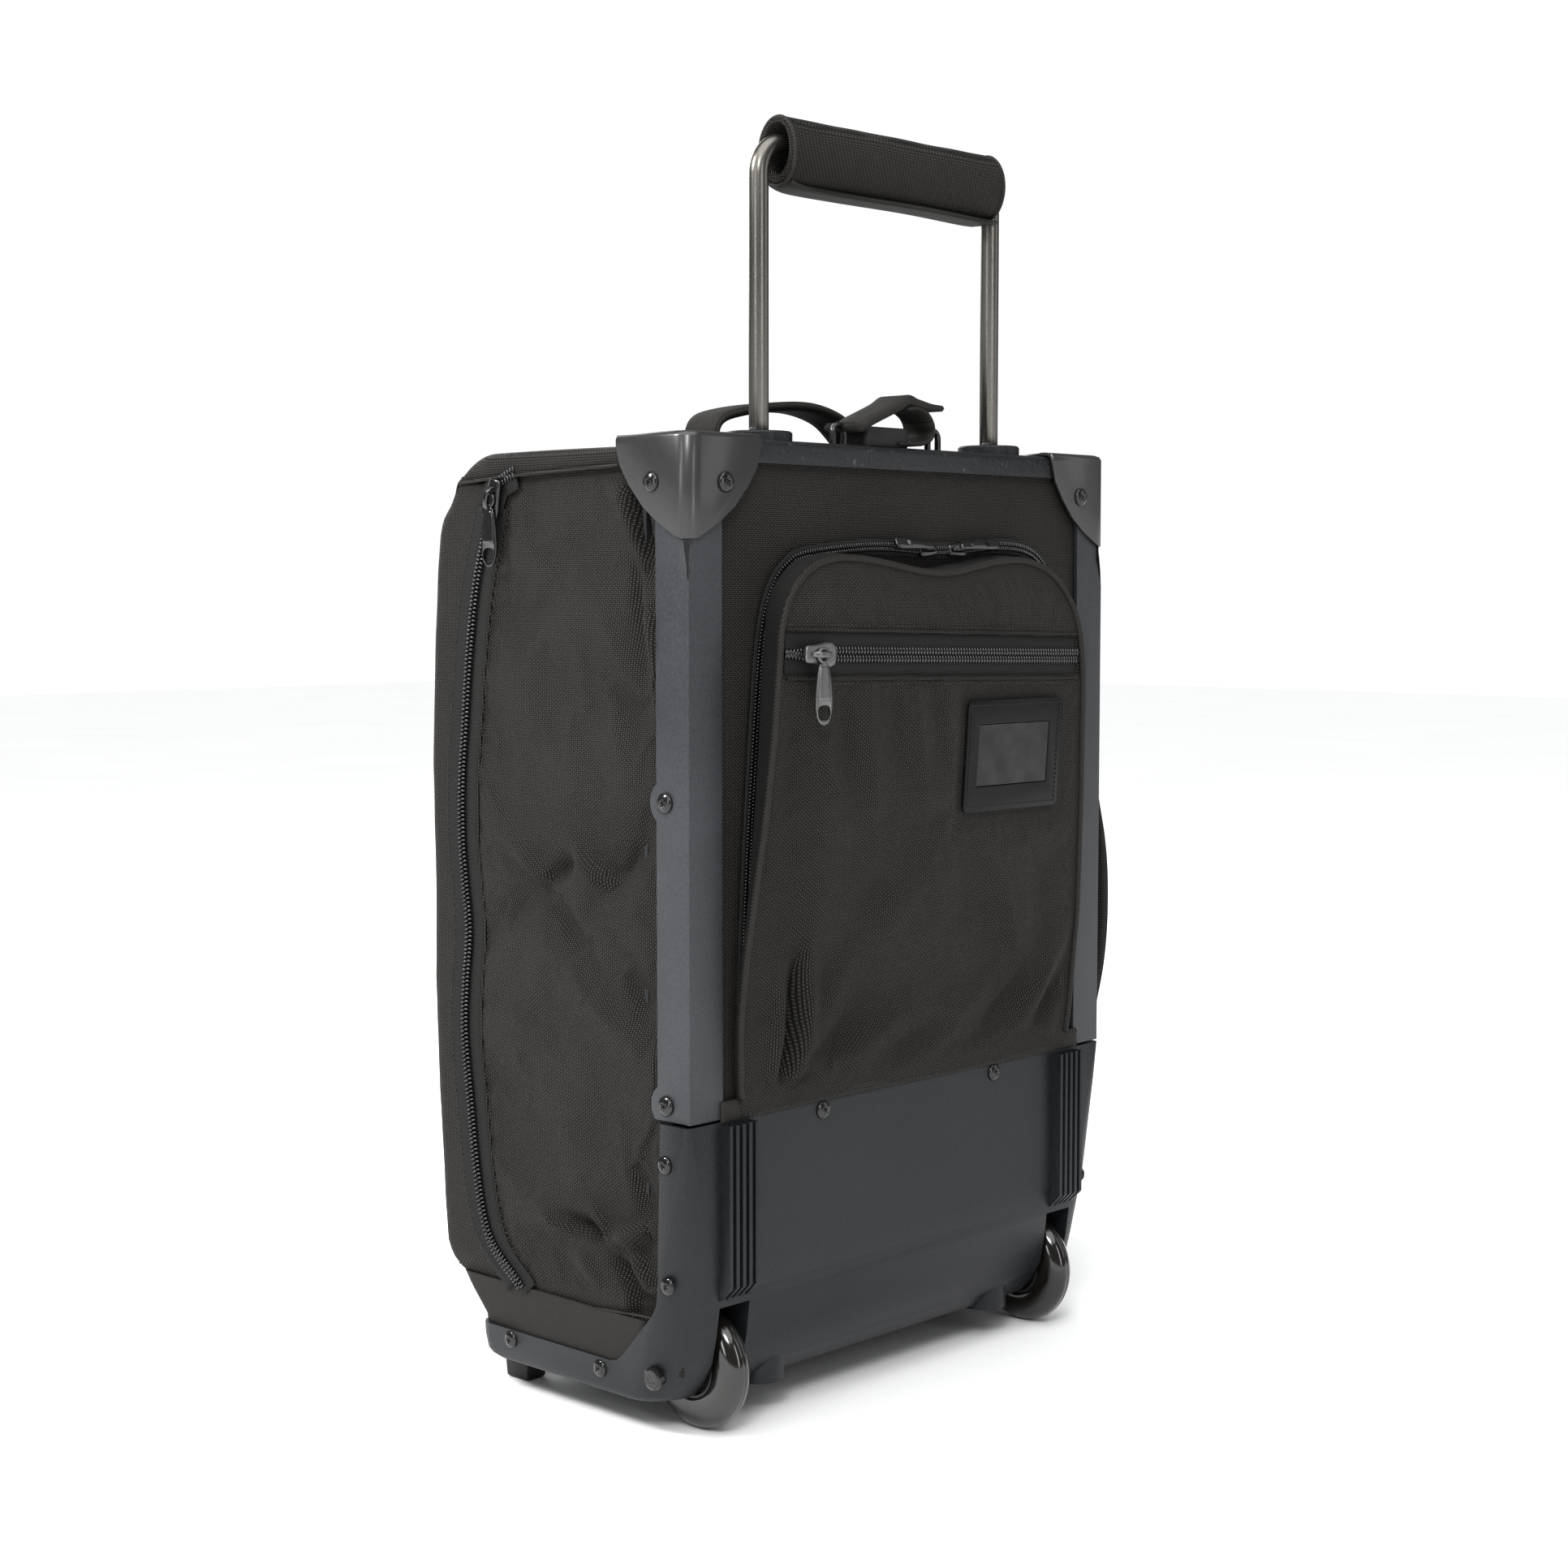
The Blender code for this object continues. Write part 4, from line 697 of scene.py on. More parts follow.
def screws():
    for word, side in SIDES:
        dome_screw("cap_screw_side_fine_" + word, (side * 182.3, CAP_SCREW_Y, CAP_SCREW_Z), (side, 0, 0), "case",
                   turn=0.3, nodes=["cap_screw_side_" + word])
        dome_screw("cap_screw_back_fine_" + word, (side * CAP_SCREW_X, 2.3, CAP_SCREW_Z), (0, 1, 0), "case", turn=1.0,
                   nodes=["cap_screw_back_" + word])
        dome_screw("cap_screw_top_" + word, (side * CAP_SCREW_X, CAP_SCREW_Y, 544.3), (0, 0, 1), "case", height=2.4)
        for level, z in (("upper", 348.7), ("lower", 186.2)):
            dome_screw(f"pillar_screw_{level}_fine_{word}", (side * 180.2, -17.8, z), (side, 0, 0), "case",
                       turn=0.2 if level == "upper" else 1.1, nodes=[f"pillar_screw_{level}_{word}"])
        for index, (y, z, x) in enumerate(((-17.2, 154.6, 182.0), (-15.5, 89.0, 181.7), (-73.1, 31.2, 178.6),
                                           (-148.9, 31.8, 178.6))):
            dome_screw(f"base_screw_{index}_{word}", (side * x, y, z), (side, 0, 0), "case", 5.0, 2.6,
                       turn=0.5 * index)
        dome_screw("kick_screw_" + word, (side * 76.0, 0.0, 171.3), (0, 1, 0), "case", 5.2, 2.8, turn=0.8 * side)
        dome_screw("axle_head_" + word, (side * 180.6, WHEEL_Y, WHEEL_RADIUS), (side, 0, 0), "case", 5.6, 1.3,
                   star=True)
        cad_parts["wheel_axle_" + word].data.materials[0] = black_steel
        for index, spot in enumerate((0.6, 0.6 + math.pi)):
            at = (side * ROD_X + 13.6 * math.cos(spot), HANDLE_Y + 13.6 * math.sin(spot), 547.8)
            dome_screw(f"collar_screw_{index}_{word}", at, (0, 0, 1), "case", 2.9, 2.3)


def wheels():
    """High-resolution tyres with a moulded parting line, and spun hubs."""
    for word, side in SIDES:
        body = "wheel_" + word
        centre = np.array((side * WHEEL_X, WHEEL_Y, WHEEL_RADIUS))
        profile = [(-8.6, 17.4), (-9.0, 18.4), (-9.0, 24.0), (-8.55, 27.6), (-7.2, 30.8), (-5.0, 33.3),
                   (-2.6, 34.6), (-0.5, 35.0), (-0.25, 34.85), (0.25, 34.85), (0.5, 35.0), (2.6, 34.6), (5.0, 33.3),
                   (7.2, 30.8), (8.55, 27.6), (9.0, 24.0), (9.0, 18.4), (8.6, 17.4)]
        tyre = spun("tyre_" + word, profile, centre, 96, urethane, body)
        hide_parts("wheel_tyre_" + word)
        hub_profile = [(-8.2, 17.0), (-8.4, 16.6), (-8.2, 15.2), (-6.2, 14.6), (-5.8, 12.6), (-8.0, 12.2), (-8.2, 11.4),
                       (8.2, 11.4), (8.0, 12.2), (5.8, 12.6), (6.2, 14.6), (8.2, 15.2), (8.4, 16.6), (8.2, 17.0)]
        hub = spun("hub_" + word, hub_profile, centre, 64, nylon_hub, body)
        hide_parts("wheel_hub_" + word)


def spun(name, profile, centre, count, mat, body):
    """Spins a closed profile of (along x, radius) round an x-axis line."""
    grid = np.empty((count, len(profile), 3))
    for step in range(count):
        angle = 2.0 * math.pi * step / count
        for index, (along, radius) in enumerate(profile):
            grid[step, index] = centre + np.array((along, radius * math.cos(angle), radius * math.sin(angle)))
    faces = grid_faces(count, len(profile), wrap_rows=True, wrap_cols=True)
    obj = piece(name, grid, faces, mat, body)
    fix_normals(obj)
    obj.data.set_sharp_from_angle(angle=math.radians(50.0))
    return obj


# ---------------------------------------------------------------- handle

def oval(x, half_y, half_z, middle_z, angles):
    """A ring round the handle's cross bar."""
    return [(x, HANDLE_Y + half_y * math.cos(a), middle_z + half_z * math.sin(a)) for a in angles]


def handle():
    elbow = 18.0
    path = [(ROD_X, HANDLE_Y, 165), (ROD_X, HANDLE_Y, 687)]
    for step in range(1, 15):
        angle = math.pi / 2.0 * step / 14
        path.append((ROD_X - elbow + elbow * math.cos(angle), HANDLE_Y, 687 + elbow * math.sin(angle)))
    path = np.array(path, float)
    mirrored = path[::-1] * np.array((-1.0, 1.0, 1.0))
    line = np.concatenate([path, mirrored])
    rod = swept("handle_rod_fine", line, circle(5.5, 28), (0, -1, 0), gunmetal, "handle")
    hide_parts("handle_rod")

    count = 44
    low, high = -97.0, 86.0
    xs = np.concatenate([[low, low + 0.6, low + 1.8], np.linspace(low + 5, high - 5, 60),
                         [high - 1.8, high - 0.6, high]])
    grid = np.empty((len(xs) + 3, count, 3))
    angles = around(count)
    for row, x in enumerate(xs):
        end = min(x - low, high - x)
        inset = 1.6 * (1.0 - smoothstep(0.0, 2.2, end))
        sag = 0.5 * math.sin((x + 20.0) / 19.0)
        for col, angle in enumerate(angles):
            lump = noise.noise(Vector((x / 26.0, math.cos(angle) * 0.9, math.sin(angle) * 0.9 + 7.0)))
            flat = 1.0 - 0.06 * smoothstep(0.55, 1.0, -math.sin(angle))
            radius_y = 14.2 - inset + 0.35 * lump
            radius_z = (19.4 - inset + 0.45 * lump) * flat
            grid[row, col] = (x, HANDLE_Y + radius_y * math.cos(angle), GRIP_Z + radius_z * math.sin(angle)
                              + 0.15 * sag)
    for extra, (x, ry, rz) in enumerate(((high, 9.6, 14.6), (high - 26.0, 7.4, 11.5), (high - 60.0, 6.4, 9.0))):
        grid[len(xs) + extra] = oval(x, ry, rz, 702.5, angles)
    grip = piece("grip_sleeve", grid, grid_faces(*grid.shape[:2], wrap_cols=True), fabric_grip, "handle")
    fix_normals(grip)
    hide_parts("handle_grip")
    inner = np.empty((3, count, 3))
    for row, (x, ry, rz) in enumerate(((low, 12.4, 17.4), (low + 1.5, 9.6, 14.6), (low + 40.0, 6.4, 9.0))):
        inner[row] = oval(x, ry, rz, 701.5, angles)
    throat = piece("grip_lining", inner, grid_faces(3, count, wrap_cols=True), tape, "handle")
    outward(throat, (0.0, HANDLE_Y, GRIP_Z))
    flap = [(-96, -27.5, 680.6), (-80, -26.0, 680.2), (-30, -25.6, 681.3), (30, -25.8, 681.2), (70, -26.4, 681.8),
            (82, -27.0, 684.5)]
    swept("grip_closure", curve_points(flap, 5.0), flat_section(19.0, 2.4), (0, 0, 1), webbing, "handle")
    for name, x in (("grip_binding_near", high - 1.2), ("grip_binding_far", low + 1.2)):
        swept(name, oval(x, 13.6, 18.7, GRIP_Z, around(48)), circle(1.25, 8), (1, 0, 0), piping, "handle",
              closed=True)


# ---------------------------------------------------------------- side panels and side zips

def zip_y(z):
    """Where the side zip runs at a height."""
    points = sorted((p[1], p[0]) for p in SIDE_ZIP)
    return np.interp(z, [p[0] for p in points], [p[1] for p in points])


def side_folds(y, z, side):
    """Wrinkles of a side panel: puckers by the cap, a slack fold at mid-height and a knot of folds low down."""
    out = 0.0
    if side > 0:
        marks = (((-44, 520), (-30, 455), 5.0, -2.6), ((-58, 528), (-40, 470), 6.0, 2.2),
                 ((-34, 470), (-26, 410), 6.0, 2.0), ((-50, 500), (-33, 420), 5.0, -1.6),
                 ((-60, 410), (-30, 385), 8.0, -1.3), ((-75, 460), (-36, 400), 9.0, 1.2),
                 ((-140, 318), (-112, 300), 6.0, 1.9), ((-112, 300), (-88, 316), 6.0, -2.0),
                 ((-90, 322), (-66, 296), 7.0, 2.4), ((-110, 290), (-84, 262), 8.0, -1.5),
                 ((-66, 300), (-30, 330), 8.0, -1.4), ((-150, 275), (-120, 292), 7.0, -1.0),
                 ((-52, 255), (-30, 232), 7.0, -1.6), ((-80, 235), (-36, 212), 9.0, 1.5),
                 ((-100, 112), (-62, 106), 5.0, -2.6), ((-62, 106), (-34, 116), 5.0, 2.6),
                 ((-78, 120), (-56, 98), 4.0, 2.2), ((-60, 98), (-46, 76), 5.0, -2.4),
                 ((-46, 102), (-33, 84), 4.5, 2.2), ((-92, 96), (-70, 76), 6.0, 1.5),
                 ((-130, 118), (-96, 100), 9.0, 1.2), ((-48, 150), (-30, 122), 6.0, -1.5),
                 ((-160, 210), (-120, 190), 10.0, 0.9), ((-150, 430), (-110, 470), 12.0, -0.8))
    else:
        marks = (((-150, 470), (-110, 500), 9.0, 1.4), ((-60, 510), (-34, 440), 7.0, -1.8),
                 ((-120, 380), (-70, 350), 9.0, 1.6), ((-90, 330), (-44, 352), 8.0, -1.5),
                 ((-140, 240), (-100, 262), 8.0, 1.6), ((-100, 225), (-50, 200), 8.0, -1.6),
                 ((-70, 140), (-36, 118), 6.0, 2.0), ((-120, 110), (-80, 92), 7.0, -1.6),
                 ((-60, 100), (-36, 80), 5.0, 1.8))
    for mark in marks:
        out = out + SIDE_FOLD_SCALE * fold(y, z, *mark)
    return out


def side_skin(side, y, z):
    """Outer surface of a side panel: slightly full, held flat at the zip, the pillar and the seams."""
    front = zip_y(z)
    across = np.clip((y - front) / (-22.0 - front), 0.0, 1.0)
    up = np.clip((z - 66.0) / (524.0 - 66.0), 0.0, 1.0)
    full = np.sin(math.pi * across) ** 0.8 * (1.0 - np.abs(2.0 * up - 1.0) ** 5)
    loose = smoothstep(13.0, 30.0, y - front) * smoothstep(-23.0, -30.0, y)
    loose = loose * smoothstep(66.0, 78.0, z) * smoothstep(526.0, 512.0, z)
    seam = -0.8 * np.exp(-((z - (64.0 + 3.5 * smoothstep(-90.0, -30.0, y))) / 2.2) ** 2)
    behind_base = 6.0 * smoothstep(-56.0, -46.0, y) * smoothstep(84.0, 74.0, z)
    return (PANEL + 3.3 * full + 1.9 * loose * side_folds(y, z, side) + seam * smoothstep(-190.0, -180.0, y)
            - behind_base)


def side_panels():
    for word, side in SIDES:
        zs = np.concatenate([np.linspace(36.0, 120.0, 62), np.linspace(121.5, 531.0, 250)])
        grid = np.empty((len(zs), 130, 3))
        for row, z in enumerate(zs):
            front = min(zip_y(z) - 6.0, -145.0) if z > 60.0 else -176.0 + (z - 60.0) * -0.15
            grid[row, :, 1] = np.linspace(front, -16.0, 130)
            grid[row, :, 2] = z
        y, z = grid[..., 1], grid[..., 2]
        slack = smoothstep(12.0, 26.0, y - zip_y(z)) * 0.8 + 0.15
        grid[..., 0] = side * (side_skin(side, y, z) + slack * cloth_noise(y, z, 34.0, 3.0 + side, 1.6))
        near_front = smoothstep(6.0, -2.0, y - zip_y(z))
        grid[..., 0] -= side * 0.8 * near_front
        panel = sheet_piece("side_fabric_" + word, grid, fabric_side, "case", (0, -100, 290), 0.0)
        edge = (y < zip_y(z) + 14.0) | (y > -25.0) | (z < 72.0) | (z > 522.0)
        cloth_settle(panel, edge.astype(float).ravel(), slack=0.012, cap=2.4)
        thicken(panel, 0.8)
        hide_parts("side_panel_" + word)
        seam = [(side * (PANEL + 0.7), y, 64.0 + 3.5 * float(smoothstep(-90.0, -30.0, y)) - 0.4)
                for y in np.linspace(-176.0, -32.0, 40)]
        swept("lower_seam_" + word, seam, circle(0.75, 8), (side, 0, 0), piping, "case")
        stitches("lower_stitch_" + word, [(x, y, z - 3.4) for x, y, z in seam[::6]], (side, 0, 0), "case")


def side_zips():
    for word, side in SIDES:
        path = curve_points([(side * (SKIN + 0.2), y, z) for y, z in SIDE_ZIP[3:]], 1.0)
        fixed_path = path + np.array((-side * 0.6, 3.4, 0.0))
        cover_path = path + np.array((0.0, -3.4, 0.0))
        up = (side, 0, 0)
        tape_strip("zip_tape_fixed_" + word, fixed_path + np.array((-side * 1.2, 3.2, 0)), 11.0, 0.9, up, "case")
        tape_strip("zip_tape_cover_" + word, cover_path + np.array((-side * 0.1, -3.6, 0)), 11.0, 0.9, up,
                   "front_cover")
        zip_teeth("zip_teeth_fixed_" + word, path, up, "case", side_sign=1 if side > 0 else -1, pitch=2.4, tooth=3.2)
        zip_teeth("zip_teeth_cover_" + word, path, up, "front_cover", side_sign=-1 if side > 0 else 1, pitch=2.4,
                  tooth=3.2)
        top_path = curve_points([(side * (SKIN + 0.2), y, z) for y, z in SIDE_ZIP[:4]], 1.0)
        zip_teeth("zip_teeth_top_" + word, top_path, up, "case", pitch=2.4, tooth=3.2)
        tape_strip("zip_tape_top_" + word, top_path + np.array((-side * 1.0, 0, 0)), 20.0, 0.9, up, "case")
        placket = np.array([(side * float(side_skin(side, y + 13.2, z) + 0.1), y + 13.2, z) for x, y, z in path[::8]])
        swept("zip_placket_" + word, placket, circle(1.1, 10), up, fabric_side, "case")
        stitches("zip_stitch_fixed_" + word, (placket + np.array((side * 0.3, 2.6, 0)))[::4], up, "case")
        stitches("zip_stitch_cover_" + word, (cover_path + np.array((side * 0.5, -8.0, 0)))[::25], up, "front_cover")
        slider("side_slider_" + word, (side * (SKIN + 1.4), SLIDER_Y, SLIDER_Z), (0, -0.288, -0.957), up,
               "side_slider_" + word, ["side_zip_slider_" + word])
        pull("side_pull_fine_" + word, (side * 184.7, SLIDER_Y, SLIDER_Z), (0, 0, -1), up, "side_pull_" + word,
             ["side_zip_pull_" + word])


def slider(name, at, along, up, body, nodes, mat=zip_gloss):
    """Zip slider: two waisted plates round the coil, a nose, and the bridge that carries the pull."""
    along = unit(along)
    up = np.array(up, float)
    side = np.cross(along, up)
    stations = ((-11.5, 3.6), (-10.5, 4.6), (-6.0, 5.0), (-1.0, 5.6), (4.0, 6.6), (8.0, 6.8), (10.6, 6.0), (11.5, 4.4))
    rows = []
    for t, half in stations:
        section = []
        for angle in around(24):
            c, s = math.cos(angle), math.sin(angle)
            wide = half * math.copysign(abs(c) ** 0.55, c)
            tall = 1.75 * math.copysign(abs(s) ** 0.7, s)
            section.append(np.array(at) + along * t + side * wide + up * (tall + 1.4))
        rows.append(section)
    grid = np.array(rows)
    faces = grid_faces(*grid.shape[:2], wrap_cols=True) + end_caps(*grid.shape[:2])
    obj = piece(name, grid, faces, mat, body)
    fix_normals(obj)
    bridge = [np.array(at) + along * t + up * h for t, h in
              ((-6.8, 2.4), (-6.2, 4.6), (-4.6, 6.2), (-1.5, 6.9), (2.0, 6.6), (4.6, 5.2), (5.8, 3.6), (6.2, 2.4))]
    swept(name + "_bridge", curve_points(bridge, 0.8), flat_section(3.4, 1.7, 0.2), up, mat, body)
    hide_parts(*nodes)


def pull(name, at, down, up, body, nodes, mat=zip_gloss):
    """Cast pull tab: a ring round the bridge, a tapering plate with a raised panel, and a slot at its foot."""
    down = np.array(down, float)
    up = np.array(up, float)
    side = np.cross(down, up)
    at = np.array(at, float)
    ring = [at + down * (0.5 - 3.6 * math.cos(a)) + side * 3.7 * math.sin(a)
            for a in around(28)]
    swept(name + "_ring", ring, circle(1.0, 10), up, mat, body, closed=True)
    outer, inner = [], []
    for a in around(64):
        c, s = math.cos(a), math.sin(a)
        power = 0.75 if c < 0 else 0.50
        t = 21.0 - 17.0 * math.copysign(abs(c) ** (1.0 if c < 0 else 0.6), c)
        half = float(table(((3, 4.0), (8, 4.9), (16, 5.7), (28, 6.9), (34, 7.1), (38, 7.0)), t))
        outer.append((t, math.copysign(abs(s) ** power, s) * half))
        inner.append((31.3 - 4.0 * math.copysign(abs(c) ** 0.7, c), math.copysign(abs(s) ** 0.7, s) * 4.9))
    verts = []
    for points, heights in ((outer, (-0.95, 0.55, 0.95)), (inner, (0.95, 0.55, -0.95))):
        for h in heights:
            grow = 1.0 if abs(h) < 0.9 else 0.955
            if points is inner:
                grow = 1.0 if abs(h) < 0.9 else 1.06
            for t, w in points:
                mid = 21.0 if points is outer else 31.4
                verts.append(at + down * (mid + (t - mid) * grow) + side * w * grow + up * h)
    plate = piece(name, verts, grid_faces(6, 64, wrap_rows=True, wrap_cols=True), mat, body)
    fix_normals(plate)
    panel = ((6.5, 2.6), (7.5, 3.4), (16.0, 4.1), (23.0, 4.8), (24.8, 4.4))
    swept(name + "_panel", [at + down * t + up * 0.95 for t, _ in panel],
          [flat_section(w * 2.0, 0.9, 0.2) for _, w in panel], up, mat, body)
    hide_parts(*nodes)


# ---------------------------------------------------------------- back panel and pocket

def back_panel():
    xs = np.linspace(-172.0, 172.0, 150)
    zs = np.linspace(168.0, 537.0, 160)
    x, z = np.meshgrid(xs, zs)
    across = 1.0 - np.abs(x / 156.0) ** 6
    up = np.clip((z - 182.0) / (527.0 - 182.0), 0.0, 1.0)
    full = np.clip(across, 0.0, 1.0) * np.clip(1.0 - np.abs(2.0 * up - 1.0) ** 8, 0.0, 1.0)
    ripple = 0.5 * cloth_noise(x, z, 42.0, 11.0, 2.2)
    y = -3.5 + full * (1.9 + ripple)
    grid = np.stack([x, y, z], axis=2)
    panel = sheet_piece("back_fabric", grid, fabric_back, "case", (0, -60, 360), 0.6)
    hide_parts("back_panel")
    strip = [(x, 0.2 + 0.25 * math.sin(x / 23.0), 182.2 + 0.3 * math.sin(x / 31.0))
             for x in np.linspace(-157, 157, 90)]
    swept("back_binding", strip, flat_section(11.5, 2.2), (0, 1, 0), webbing_x, "case")
    stitches("back_binding_stitch", [(x, y + 1.2, z - 3.6) for x, y, z in strip[::6]], (0, 1, 0), "case")
    stitches("back_binding_stitch_top", [(x, y + 1.2, z + 3.8) for x, y, z in strip[::6]], (0, 1, 0), "case")


def pocket_height(u):
    return table(POCKET_TOP, np.abs(u)) - 2.0 * np.exp(-((u + 0.10) / 0.26) ** 2)


def chain_z(x):
    return 424.4 + x * 0.0228


POCKET_FOLDS = (
    ((112, 196), (104, 262), 5.0, -5.2), ((120, 192), (116, 250), 5.0, 2.6), ((103, 192), (92, 250), 6.0, 3.2),
    ((98, 200), (60, 262), 9.0, 2.0), ((84, 196), (38, 236), 9.0, -2.2), ((66, 192), (8, 222), 9.0, 2.0),
    ((70, 262), (34, 300), 12.0, -1.6), ((38, 300), (10, 262), 12.0, 1.6), ((30, 196), (-30, 208), 8.0, -1.6),
    ((-20, 204), (-70, 226), 10.0, 1.5), ((-60, 200), (-104, 228), 9.0, -2.0), ((-92, 196), (-134, 250), 8.0, 2.2),
    ((-112, 194), (-140, 226), 6.0, -2.4), ((96, 410), (94, 350), 5.0, 0.9), ((80, 410), (76, 345), 5.0, -1.1),
    ((62, 412), (54, 335), 5.5, 1.1), ((42, 410), (30, 345), 5.0, -1.0), ((24, 410), (12, 350), 5.0, 0.9),
    ((6, 410), (-4, 355), 5.0, -0.9), ((118, 410), (126, 330), 7.0, -1.2), ((88, 320), (96, 270), 12.0, 1.3),
    ((0, 330), (-20, 270), 16.0, 1.3), ((-70, 300), (-96, 250), 14.0, 1.2), ((-30, 290), (-60, 250), 12.0, -1.3))


def pocket_front_y(x, z):
    """How far the pocket's front stands behind the case, with its folds and the recess of the cross zip."""
    base = table(POCKET_DEPTHS, z)
    half = table(POCKET_WIDTHS, np.minimum(z, 445.0))
    across = np.clip(np.abs(x) / half, 0.0, 1.0)
    crown = 2.2 * (1.0 - across ** 3) * smoothstep(180.0, 330.0, z) * smoothstep(484.0, 440.0, z)
    folds = 0.0
    for mark in POCKET_FOLDS:
        folds = folds + POCKET_FOLD_SCALE * fold(x, z, *mark)
    hold = smoothstep(1.0, 0.93, across) * smoothstep(186.0, 200.0, z)
    gap = z - chain_z(x)
    recess = smoothstep(13.5, 10.5, np.abs(gap)) * smoothstep(1.0, 0.97, across)
    dip = np.exp(-((x + 10.0) / 34.0) ** 2) * smoothstep(452.0, 474.0, z)
    return base + (crown + folds * hold * (1.0 - recess)) * (1.0 - frame_area(x, z)) - 2.3 * recess - 0.9 * dip


def frame_area(x, z):
    """One under the identity frame, falling to nothing a little way outside it."""
    return (smoothstep(-130.0, -115.0, x) * smoothstep(-12.0, -23.0, x)
            * smoothstep(318.0, 331.0, z) * smoothstep(411.0, 399.0, z))


